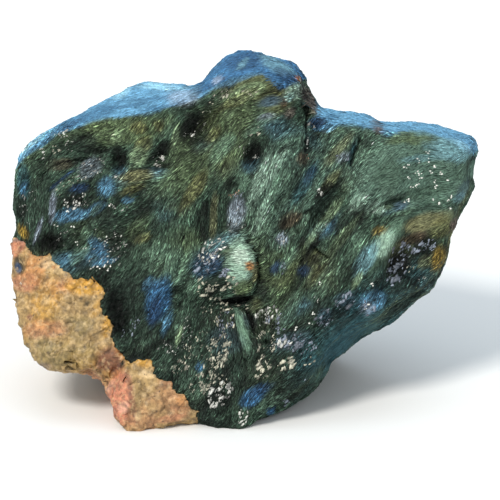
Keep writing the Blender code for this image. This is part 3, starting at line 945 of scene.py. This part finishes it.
# %% Scatter spots over the skin
BODY_TREE = BVHTree.FromPolygons(
    [tuple(point) for point in body_spots.points],
    [tuple(polygon.vertices) for polygon in body_mesh.polygons],
)
CORNERS = np.array([tuple(polygon.vertices) for polygon in body_mesh.polygons])


def scattered(count, weights, seed):
    """Random spots on the body. weights says how crowded each vertex is."""
    dice = np.random.default_rng(seed)
    a, b, c = (body_spots.points[CORNERS[:, i]] for i in range(3))
    area = np.linalg.norm(np.cross(b - a, c - a), axis=1)
    crowd = area * weights[CORNERS].mean(axis=1)
    chosen = CORNERS[dice.choice(len(CORNERS), count, p=crowd / crowd.sum())]
    u, v = dice.random(count), dice.random(count)
    u, v = np.where(u + v > 1, 1 - u, u), np.where(u + v > 1, 1 - v, v)
    shares = np.stack((1 - u - v, u, v), axis=1)
    points = (body_spots.points[chosen] * shares[:, :, None]).sum(axis=1)
    normals = (body_spots.normals[chosen] * shares[:, :, None]).sum(axis=1)
    normals /= np.linalg.norm(normals, axis=1)[:, None]
    top, hollow = ((values[chosen] * shares).sum(axis=1) for values in (body_spots.top, body_spots.hollow))
    return Spots(points, normals, top, hollow)


def snapped(points):
    """The nearest points of the skin."""
    return np.array([BODY_TREE.find_nearest(point)[0] for point in points])


# %% Needles as one mesh
SIDES = 3
NEEDLE_VERTICES = SIDES + 2


def needle_faces():
    """Faces of one needle. Vertices 0 and 4 are its tips, and 1 to 3 are the ring round its middle."""
    faces = []
    for side in range(SIDES):
        after = (side + 1) % SIDES
        faces += [(0, 1 + after, 1 + side), (4, 1 + side, 1 + after)]
    return np.array(faces)


def needle_map():
    """Where each corner of one needle's faces lies in the needle's own cell of the UV map."""
    corners = []
    for side in range(SIDES):
        left, right = (side + 0.08) / SIDES, (side + 0.92) / SIDES
        middle = (left + right) / 2
        corners += [(middle, 0.04), (right, 0.5), (left, 0.5), (middle, 0.96), (left, 0.5), (right, 0.5)]
    return np.array(corners)


def needle_points(spots, directions, lengths, widths, lifts):
    """All needles' vertices, five for each."""
    sideways = np.cross(spots.normals, directions)
    reach = directions * (lengths / 2)[:, None]
    raised = spots.normals * lifts[:, None]
    ring = []
    for side in range(SIDES):
        turn = math.pi / 2 + side * 2 * math.pi / SIDES
        out = sideways * math.cos(turn) + spots.normals * math.sin(turn) * 0.8
        ring.append(spots.points + raised + out * (widths / 2)[:, None])
    low_tip = snapped(spots.points - reach) - raised * 0.5
    high_tip = snapped(spots.points + reach) + raised
    return np.stack((low_tip, *ring, high_tip), axis=1).reshape(-1, 3)


def copies_mesh(name, points, faces, face_map, count):
    """Many copies of one small closed shape, as one mesh with a UV map of one cell for each copy."""
    per_copy = len(points) // count
    all_faces = (faces[None] + (np.arange(count) * per_copy)[:, None, None]).reshape(-1, 3)
    points[:, 2] = np.maximum(points[:, 2], 0)
    mesh = bpy.data.meshes.new(name)
    mesh.from_pydata(points, [], all_faces.tolist())
    cells = math.ceil(math.sqrt(count))
    corner = np.stack((np.arange(count) % cells, np.arange(count) // cells), axis=1)
    flat = ((corner[:, None, :] + face_map[None]) / cells).astype(np.float32)
    mesh.uv_layers.new(name="OFBake").data.foreach_set("uv", flat.ravel())
    mesh.shade_smooth()
    return mesh


NEEDLE_FACES = needle_faces()
NEEDLE_MAP = needle_map()
print("one needle has", len(NEEDLE_FACES), "triangles")


# %% [markdown]
# The needles have one finish. Its colour is stored with each needle, and fine noise along it breaks the
# light up as cleavage does.

# %% The fibres' finish
def fibre_finish():
    finish = Finish("silky_fibre")
    specks = finish.noise(finish.place(), 0.35 * MM, detail=2.0)
    colour = finish.brightened(finish.painted("tint"), finish.between(specks, 0.3, 0.7) * 0.5 + 0.75)
    return finish.surface(colour, specks * 0.3 + 0.35, 0.25)


SILKY = fibre_finish()


# %% Lay the fibres
FIBRES = {
    # name: columns from and to, count, seed
    "fibres_left": (-50, 150, 22000, 71),
    "fibres_middle": (150, 250, 22000, 72),
    "fibres_centre_right": (250, 350, 22000, 73),
    "fibres_right": (350, 600, 22000, 74),
}
BACK_FIBRES = {"fibres_back_left": (-50, 246, 9000, 75), "fibres_back_right": (246, 600, 9000, 76)}
FELT_GAIN = 1.1


def fibre_piece(name, spots, seed):
    dice = np.random.default_rng(seed)
    count = len(spots.points)
    calm = area_share(spots, CALM)
    angles = fibre_angles(spots) + dice.normal(0, 0.14 - 0.08 * calm)
    directions = fibre_directions(spots, angles)
    lengths = MM * (1.3 + 0.7 * calm) * np.exp(dice.normal(0, 0.35, count))
    widths = MM * 0.15 * np.exp(dice.normal(0, 0.25, count))
    lifts = MM * (0.09 * dice.random(count) * (1 - 0.6 * calm) + 0.01)
    points = needle_points(spots, directions, lengths, widths, lifts)
    shade = np.exp(dice.normal(0, 0.55 - 0.33 * calm)) * FELT_GAIN
    shade *= np.where(dice.random(count) < 0.22 * (1 - calm), 0.35, 1.0)
    tints = np.minimum(felt_colours(spots) * shade[:, None], 0.95)
    mesh = copies_mesh(name, points, NEEDLE_FACES, NEEDLE_MAP, count)
    paint_vertices(mesh, "tint", np.repeat(tints, NEEDLE_VERTICES, axis=0))
    return add_piece(mesh, SILKY)


body_feldspar = feldspar_border(body_spots)
felt_here = soft_step(4.0, 0.0, body_feldspar) * (body_spots.points[:, 2] > 0.3 * MM)
front_crowd = soft_step(0.0, 0.1, body_spots.facing) * felt_here * (1 - 0.6 * area_share(body_spots, BARE))
front_crowd *= 1 - 0.5 * body_spots.hollow
back_crowd = soft_step(0.1, 0.0, body_spots.facing) * felt_here
for crowd, pieces in ((front_crowd, FIBRES), (back_crowd, BACK_FIBRES)):
    for name, (first, last, count, seed) in pieces.items():
        columns = body_spots.places[:, 0]
        here = crowd * ((columns >= first) & (columns < last))
        fibre_piece(name, scattered(count, here, seed), seed)

# %% [markdown]
# ## Flecks and glints
#
# The lower middle of the face is sprinkled with pale grains. White grains are set all over the left and the
# right of it as painted glints: their white paint stands for the glint of the light. A grain is a tiny broken
# crystal, so each starts as an icosahedron, is stretched and flattened along the fibres, and has every corner
# pushed by a random amount. The flecks are scattered in ovals, where they gather in clouds, and the glints
# are set one by one.

# %% Where the flecks are
# painted sparkle: the white flecks on the left of the face stand for glints of light as well as pale grains;
# the cream and lilac flecks of the lower middle are pale grains.
FLECKS = (
    # paint, column, row, half length, half width, turn, count, length in mm
    ("white", 66, 135, 5, 3, 0, 16, 0.40), ("cream", 56, 151, 5, 4, 30, 14, 0.50),
    ("white", 44, 154, 5, 4, 0, 14, 0.40), ("white", 75, 148, 9, 4, -30, 18, 0.34),
    ("white", 92, 168, 13, 9, 45, 70, 0.32), ("cream", 68, 184, 13, 5, 40, 44, 0.30),
    ("white", 78, 202, 11, 7, 10, 50, 0.42), ("white", 68, 214, 6, 3, 90, 8, 0.34),
    ("white", 117, 178, 2, 2, 0, 5, 0.40), ("white", 32, 196, 8, 5, 0, 18, 0.28),
    ("white", 26, 216, 9, 9, 0, 20, 0.25), ("white", 66, 237, 9, 7, 0, 28, 0.34),
    ("white", 108, 240, 14, 14, 0, 50, 0.32), ("white", 104, 264, 14, 6, 0, 40, 0.34),
    ("white", 120, 252, 10, 6, 60, 30, 0.30), ("white", 120, 206, 9, 4, 0, 12, 0.36),
    ("cream", 222, 97, 11, 5, 30, 50, 0.34), ("cream", 250, 92, 8, 5, 30, 36, 0.32),
    ("cream", 209, 114, 6, 4, 0, 12, 0.30), ("white", 196, 132, 12, 8, 45, 30, 0.25),
    ("white", 159, 161, 6, 5, 90, 30, 0.46), ("white", 250, 152, 11, 9, 0, 44, 0.28),
    ("cream", 255, 133, 4, 5, 0, 12, 0.38), ("white", 311, 127, 3, 3, 0, 10, 0.36),
    ("white", 308, 143, 5, 2, 80, 10, 0.42), ("blush", 302, 160, 6, 5, 0, 14, 0.30),
    ("blush", 233, 194, 6, 3, 20, 18, 0.40), ("lilac", 240, 205, 12, 9, 80, 60, 0.36),
    ("white", 238, 222, 12, 8, 60, 34, 0.30), ("white", 320, 192, 5, 3, 45, 20, 0.36),
    ("lilac", 342, 159, 7, 5, 40, 24, 0.34), ("white", 282, 240, 7, 3, 75, 18, 0.38),
    ("lilac", 280, 268, 6, 5, 0, 14, 0.34), ("white", 212, 250, 12, 8, 40, 70, 0.60),
    ("lilac", 208, 262, 13, 8, 50, 46, 0.65), ("lilac", 226, 273, 6, 4, 60, 18, 0.75),
    ("cream", 222, 289, 14, 11, 30, 110, 0.55), ("cream", 203, 287, 8, 5, 90, 26, 0.50),
    ("cream", 226, 307, 24, 4, 5, 46, 0.42), ("cream", 222, 335, 26, 9, 80, 190, 0.50),
    ("lilac", 226, 322, 12, 7, 80, 60, 0.46), ("cream", 198, 345, 14, 9, 50, 56, 0.36),
    ("cream", 214, 372, 16, 12, 70, 140, 0.48), ("white", 219, 393, 12, 9, 30, 90, 0.60),
    ("cream", 180, 366, 8, 5, 10, 36, 0.50), ("cream", 200, 384, 10, 8, 60, 54, 0.42),
    ("lilac", 131, 330, 12, 8, 60, 44, 0.34), ("white", 188, 330, 14, 4, 85, 34, 0.34),
    ("white", 170, 347, 14, 6, 0, 34, 0.34), ("white", 268, 316, 12, 7, 20, 80, 0.56),
    ("lilac", 276, 323, 10, 8, 0, 46, 0.56), ("lilac", 290, 340, 12, 6, 10, 70, 0.62),
    ("white", 282, 345, 8, 5, 0, 30, 0.60), ("lilac", 304, 347, 10, 5, 10, 44, 0.60),
    ("cream", 263, 367, 12, 6, 80, 60, 0.62), ("cream", 286, 363, 9, 5, 20, 50, 0.66),
    ("cream", 309, 360, 6, 3, 20, 12, 0.52), ("lilac", 303, 381, 4, 3, 0, 8, 0.52),
    ("lilac", 288, 400, 5, 4, 30, 12, 0.52), ("white", 243, 416, 7, 4, 80, 22, 0.60),
    ("lilac", 325, 318, 8, 7, 0, 32, 0.54), ("lilac", 345, 301, 9, 6, 30, 36, 0.60),
    ("lilac", 366, 308, 7, 6, 0, 22, 0.54), ("lilac", 396, 264, 18, 9, 70, 100, 0.66),
    ("lilac", 424, 247, 12, 5, 20, 54, 0.60), ("cream", 409, 269, 4, 3, 0, 8, 0.46),
    ("white", 420, 279, 5, 2, 0, 8, 0.46), ("white", 436, 275, 4, 3, 0, 8, 0.40),
    ("cream", 266, 333, 8, 2, 0, 16, 0.50), ("cream", 258, 341, 6, 2, 90, 16, 0.50),
    ("cream", 273, 342, 6, 2, 90, 16, 0.50), ("cream", 265, 349, 8, 2, 0, 16, 0.50),
)
# places of the painted highlights: white grains that stand for glints
GLINTS = (
    (403, 168), (406, 166), (416, 172), (418, 175), (407, 178), (413, 187), (416, 185), (420, 178),
    (431, 173), (435, 167), (439, 174), (435, 182), (448, 180), (436, 187), (403, 202), (407, 201),
    (431, 200), (438, 203), (448, 200), (450, 197), (449, 209), (426, 152), (427, 160), (418, 162),
    (57, 225), (73, 226), (67, 211), (80, 204), (79, 243), (85, 248), (107, 237), (107, 242),
    (110, 252), (106, 265), (100, 268), (111, 268), (116, 235), (51, 279), (50, 283), (22, 284),
    (368, 303), (364, 309), (320, 283), (371, 284), (318, 300), (310, 322), (295, 327), (313, 313),
    (241, 412), (210, 112), (203, 252), (69, 213), (84, 196), (112, 205), (54, 136), (64, 133),
)
print(sum(patch[6] for patch in FLECKS), "flecks and", len(GLINTS), "places that glint")


# %% Grains as one mesh
def grain_shape():
    bm = bmesh.new()
    bmesh.ops.create_icosphere(bm, subdivisions=1, radius=0.5)
    points = np.array([tuple(vertex.co) for vertex in bm.verts])
    faces = np.array([[vertex.index for vertex in face.verts] for face in bm.faces])
    bm.free()
    return points, faces


def grain_map(faces):
    """Each face of a grain in its own little triangle of the grain's cell."""
    per_row = 5
    corners = []
    for index in range(len(faces)):
        left, low = (index % per_row) / per_row, (index // per_row) / per_row
        side = 0.8 / per_row
        corners += [(left + 0.02, low + 0.02), (left + side, low + 0.02), (left + 0.02, low + side)]
    return np.array(corners)


GRAIN_POINTS, GRAIN_FACES = grain_shape()
GRAIN_MAP = grain_map(GRAIN_FACES)


def grains(name, spots, lengths, colours, slenderness, flatness, seed):
    """Broken crystals that lie along the fibres."""
    dice = np.random.default_rng(seed)
    count = len(spots.points)
    along = fibre_directions(spots, fibre_angles(spots) + dice.normal(0, 0.35, count))
    beside = np.cross(spots.normals, along)
    shape = GRAIN_POINTS[None] * (1 + dice.normal(0, 0.22, (count, len(GRAIN_POINTS), 1)))
    shape = shape * lengths[:, None, None]
    points = (spots.points[:, None, :] + shape[:, :, :1] * along[:, None, :]
              + shape[:, :, 1:2] * beside[:, None, :] * slenderness
              + shape[:, :, 2:] * spots.normals[:, None, :] * flatness)
    mesh = copies_mesh(name, points.reshape(-1, 3), GRAIN_FACES, GRAIN_MAP, count)
    paint_vertices(mesh, "tint", np.repeat(colours, len(GRAIN_POINTS), axis=0))
    return mesh


# %% The grains' finish
def grain_finish(name, roughness):
    finish = Finish(name)
    veins = finish.noise(finish.place(), 0.25 * MM, detail=3.0, distortion=1.0)
    colour = finish.brightened(finish.painted("tint"), finish.between(veins, 0.35, 0.6) * 0.5 + 0.6)
    return finish.surface(colour, veins * 0.2 + roughness, 0.5)


# %% Scatter the flecks and set the glints
LIFT = 0.05 * MM
FLECK_SIZE = 0.75
FLECK_SPREAD = 1.25                  # how far past its oval a patch of flecks thins out


def on_face(places):
    """Spots of the visible skin behind these places of the picture."""
    places = np.array(places, dtype=float)
    starts = (ACROSS * ((places[:, :1] - MIDDLE_COLUMN) * PIXEL)
              + UP * (HIGHEST - (places[:, 1:] - TOP_ROW) * PIXEL) - INTO * 0.2)
    hits = [BODY_TREE.ray_cast(Vector(start), Vector(INTO)) for start in starts]
    found = [(hit[0], hit[1]) for hit in hits if hit[0] is not None]
    nothing = np.zeros(len(found))
    return Spots(np.array([hit[0] for hit in found]) - INTO * LIFT, np.array([hit[1] for hit in found]),
                 nothing, nothing)


def fleck_places(dice):
    """A place, a length and a colour for each fleck. In a patch they gather where the clouds are thick."""
    places, lengths, colours = [], [], []
    for paint, column, row, half_length, half_width, turn, count, length in FLECKS:
        tries = dice.uniform(-1, 1, (count * 6, 2))
        tries = tries[np.hypot(*tries.T) < 1]
        flat = np.column_stack((tries * (half_length, half_width), np.zeros(len(tries))))
        thick = clouds(flat, 3.0, column)
        tries = tries[np.argsort(-thick - dice.normal(0, 0.35, len(thick)))[:count]]
        cosine, sine = math.cos(math.radians(turn)), math.sin(math.radians(turn))
        x, y = (tries * (half_length, half_width)).T * FLECK_SPREAD
        places.append(np.column_stack((column + x * cosine - y * sine, row - x * sine - y * cosine)))
        lengths.append(FLECK_SIZE * length * MM * np.exp(dice.normal(0, 0.4, len(tries))))
        colours.append(PAINTS[paint] * dice.uniform(0.15, 0.95, (len(tries), 1)))
    return np.concatenate(places), np.concatenate(lengths), np.concatenate(colours)


dice = np.random.default_rng(81)
places, lengths, colours = fleck_places(dice)
add_piece(grains("pale_flecks", on_face(places), lengths, colours, 0.45, 0.35, 82),
          grain_finish("pale_fleck", 0.3))

# painted highlights: white glossy grains at the places that glint
glint_places = np.repeat(np.array(GLINTS, dtype=float), 3, axis=0)
glint_places += dice.normal(0, 1.1, glint_places.shape)
glint_lengths = MM * dice.uniform(0.22, 0.42, len(glint_places))
glint_colours = np.tile(PAINTS["white"], (len(glint_places), 1))
add_piece(grains("glints", on_face(glint_places), glint_lengths, glint_colours, 0.7, 0.5, 83),
          grain_finish("painted_glint", 0.08))

# %% [markdown]
# ## The feldspar corner
#
# Feldspar breaks along flat planes, so its surface is a set of small tilted facets and thin ledges instead
# of fibres. It grew into the same stone, and here it is a thick patch cut from the same fine skin: the skin's
# cells inside its outline are copied, divided once more, broken into facets, pushed out a little so that
# their ragged edge stands over the felt, and closed at the back with Solidify. The body draws back below it.

# %% Paint and relief of the feldspar
# The near-black spots are painted shade in the feldspar's small pits and notches; the one with navy at (20,
# 265) is also a dark inclusion.
FELDSPAR_WASHES = (
    ("salmon", 18, 246, 12, 7, 60, 0.8), ("mauve", 19, 240, 9, 2, 0, 0.7),
    ("apricot", 38, 262, 14, 12, 60, 0.8), ("straw", 54, 265, 13, 7, -20, 0.6),
    ("salmon", 24, 283, 16, 9, 0, 0.6), ("apricot", 34, 276, 14, 8, 0, 0.5),
    ("shade_and_speck_black", 20, 265, 9, 5, 100, 0.9), ("navy", 19, 268, 5, 3, 100, 0.8),
    ("amber", 88, 286, 20, 9, -8, 0.9), ("amber", 108, 324, 12, 5, 80, 0.8),
    ("amber", 98, 308, 10, 5, 60, 0.5), ("liver", 31, 317, 3, 3, 0, 0.8),
    ("rust", 55, 267, 2, 2, 0, 0.9), ("salmon", 48, 328, 26, 9, 5, 0.4),
    ("drab", 80, 324, 18, 10, 0, 0.6), ("drab", 66, 354, 36, 14, 0, 0.7),
    ("mauve", 46, 366, 10, 4, 0, 0.5), ("liver", 110, 360, 16, 13, 60, 0.85),
    # Painted shade: the near-black at (122, 365) is the notch between the two lobes.
    ("rust", 121, 350, 10, 4, 130, 0.6), ("shade_and_speck_black", 122, 365, 5, 3, 45, 0.9),
    ("salmon", 121, 394, 26, 12, 85, 0.9), ("blush", 124, 406, 6, 5, 60, 0.8),
    ("blush", 112, 384, 8, 3, 50, 0.5), ("liver", 133, 398, 26, 3, 100, 0.6),
    # Painted highlight: the straw at (148, 373) lights the top of the lower lobe.
    ("amber", 144, 362, 10, 5, 0, 0.8), ("straw", 148, 373, 9, 4, -10, 0.9),
    ("tan", 166, 398, 26, 14, 0, 0.5), ("apricot", 184, 400, 10, 7, -20, 0.6),
    ("salmon", 172, 417, 18, 5, 10, 0.5), ("straw", 145, 394, 3, 3, 0, 0.7),
    ("straw", 139, 415, 5, 3, 80, 0.7), ("straw", 48, 300, 6, 4, 30, 0.5),
    ("shade_and_speck_black", 82, 298, 2, 2, 0, 0.7), ("shade_and_speck_black", 88, 304, 3, 2, 60, 0.7), ("shade_and_speck_black", 96, 297, 2, 2, 0, 0.7),
    ("brown", 60, 334, 5, 1, 10, 0.6), ("shade_and_speck_black", 42, 266, 2, 1.5, 0, 0.6), ("shade_and_speck_black", 48, 272, 2, 1, 0, 0.5),
)
FELDSPAR_RELIEF = (
    # column, row, half length, half width, turn, height in mm
    (133, 398, 30, 7, 100, 0.7), (112, 374, 16, 5, 50, -0.9), (148, 372, 10, 5, -10, 0.4),
    (60, 300, 34, 16, 20, 0.4), (20, 265, 8, 5, 100, -0.4), (70, 330, 40, 10, 5, -0.3),
    (60, 356, 34, 10, 0, 0.4), (184, 400, 12, 8, -20, 0.4), (88, 286, 16, 7, 0, 0.3),
)
PROUD = 0.16 * MM
FELDSPAR_DEPTH = 1.3 * MM
DEEPEST = 1.0 * MM                   # of the feldspar's own dents
SUNK = 1.25 * MM                     # how far the body draws back below the feldspar


def facets(points, size, seed):
    """Small tilted planes, one for each cell of a jittered lattice, from about -1 to 1."""
    cells = points / size
    base = np.floor(cells).astype(int)
    nearest = np.full(len(points), 1e9)
    height = np.zeros(len(points))
    for step in itertools.product((-1, 0, 1), repeat=3):
        cell = base + step
        def value(shift, cell=cell):
            x, y, z = ((cell + shift + seed) % LATTICE).T
            return LATTICE_VALUES[x, y, z]
        middle = cell + 0.5 + 0.45 * np.stack([value(shift) for shift in (0, 9, 21)], axis=1)
        gap = cells - middle
        away = (gap**2).sum(axis=1)
        closer = away < nearest
        nearest = np.where(closer, away, nearest)
        tilt = np.stack([value(shift) for shift in (33, 41, 55)], axis=1)
        height = np.where(closer, (gap * tilt).sum(axis=1), height)
    return height


def feldspar_height(spots):
    height = 0.34 * MM * facets(spots.points, 2.6 * MM, 3) + 0.12 * MM * facets(spots.points, 1.0 * MM, 5)
    ledges = np.abs((spots.points @ UP / (0.62 * MM) + 0.8 * clouds(spots.points, 2.5 * MM, 7)) % 1 - 0.5)
    height += 0.10 * MM * (ledges - 0.25) * soft_step(-0.2, 0.4, clouds(spots.points, 5 * MM, 9))
    height += 0.05 * MM * rough(spots.points, 0.7 * MM, 12)
    for column, row, half_length, half_width, turn, rise in FELDSPAR_RELIEF:
        away = oval(spots.places, column, row, half_length, half_width, turn)
        height += rise * MM * np.exp(-away**2.6) * spots.front
    return height


# %% Cut the patch and build it up
def drop_islands(bm):
    """Deletes every loose part but the biggest one."""
    waiting = set(bm.verts)
    parts = []
    while waiting:
        part = [waiting.pop()]
        for vertex in part:
            linked = {edge.other_vert(vertex) for edge in vertex.link_edges} & waiting
            waiting -= linked
            part.extend(linked)
        parts.append(part)
    parts.sort(key=len)
    loose = [vertex for part in parts[:-1] for vertex in part]
    bmesh.ops.delete(bm, geom=loose, context="VERTS")


def feldspar_patch():
    """The skin's cells inside the corner's outline."""
    border = feldspar_border(spots_of(skin))
    bm = bmesh.new()
    bm.from_mesh(skin)
    bm.verts.ensure_lookup_table()
    outside = [face for face in bm.faces if min(border[v.index] for v in face.verts) < 0]
    bmesh.ops.delete(bm, geom=outside, context="FACES")
    drop_islands(bm)
    patch = bpy.data.meshes.new("patch")
    bm.to_mesh(patch)
    bm.free()
    return applied("patch", patch, [("SUBSURF", {"levels": 1, "render_levels": 1}),
                                    ("TRIANGULATE", {})])


patch = feldspar_patch()
patch_spots = spots_of(patch)
deepest = -DEEPEST * soft_step(2, 8, feldspar_border(patch_spots))
patch_height = PROUD + np.maximum(feldspar_height(patch_spots), deepest)
raised = patch_spots.points + patch_spots.normals * patch_height[:, None]
patch.vertices.foreach_set("co", raised.astype(np.float32).ravel())
feldspar_mesh = applied("feldspar_corner", patch, [
    ("DECIMATE", {"ratio": 0.3}),
    ("SOLIDIFY", {"thickness": FELDSPAR_DEPTH, "offset": -1.0, "use_even_offset": False}),
    ("TRIANGULATE", {}),
])
for mesh, sink in ((feldspar_mesh, 0.0), (body_mesh, SUNK * soft_step(0.5, 5.0, body_feldspar))):
    spots = spots_of(mesh)
    points = spots.points - spots.normals * np.broadcast_to(sink, len(spots.points))[:, None]
    points[:, 2] = np.maximum(points[:, 2], 0)
    mesh.vertices.foreach_set("co", points.astype(np.float32).ravel())
    mesh.update()
feldspar_spots = spots_of(feldspar_mesh)


def feldspar_colours(spots):
    swirl = rough(spots.points, 2.0 * MM, 40)
    colours = np.tile(PAINTS["tan"], (len(spots.points), 1))
    for paint, share, size, seed in (("salmon", 0.6, 6, 41), ("amber", 0.6, 7, 43), ("drab", 0.7, 6, 45)):
        colours = washed(colours, paint, soft_step(0.0, 0.9, rough(spots.points, size * MM, seed)) * share)
    return with_washes(colours, spots, swirl, FELDSPAR_WASHES)


def feldspar_finish():
    finish = Finish("blocky_feldspar")
    mottle = finish.noise(finish.place(), 0.9 * MM, detail=5.0, roughness=0.65)
    veins = finish.noise(finish.place(), 1.6 * MM, detail=3.0, distortion=2.0)
    pale = finish.between(veins, 0.52, 0.62) * 0.35
    specks = finish.between(finish.noise(finish.place(), 0.45 * MM, detail=1.0), 0.30, 0.24)
    colour = finish.mixed(pale, finish.painted("tint"), tuple(PAINTS["straw"]))
    colour = finish.brightened(colour, finish.between(mottle, 0.3, 0.72) * 0.9 + 0.5)
    colour = finish.mixed(specks * 0.8, colour, tuple(PAINTS["brown"]))
    return finish.surface(colour, 0.6 - mottle * 0.3, 0.35, mottle, 0.12 * MM)


paint_vertices(feldspar_mesh, "tint", feldspar_colours(feldspar_spots))
feldspar_mesh.shade_smooth()
feldspar_mesh.materials.clear()
add_piece(feldspar_mesh, feldspar_finish())
for mesh in (body_mesh, feldspar_mesh):
    for name in ("top", "hollow"):
        mesh.attributes.remove(mesh.attributes[name])
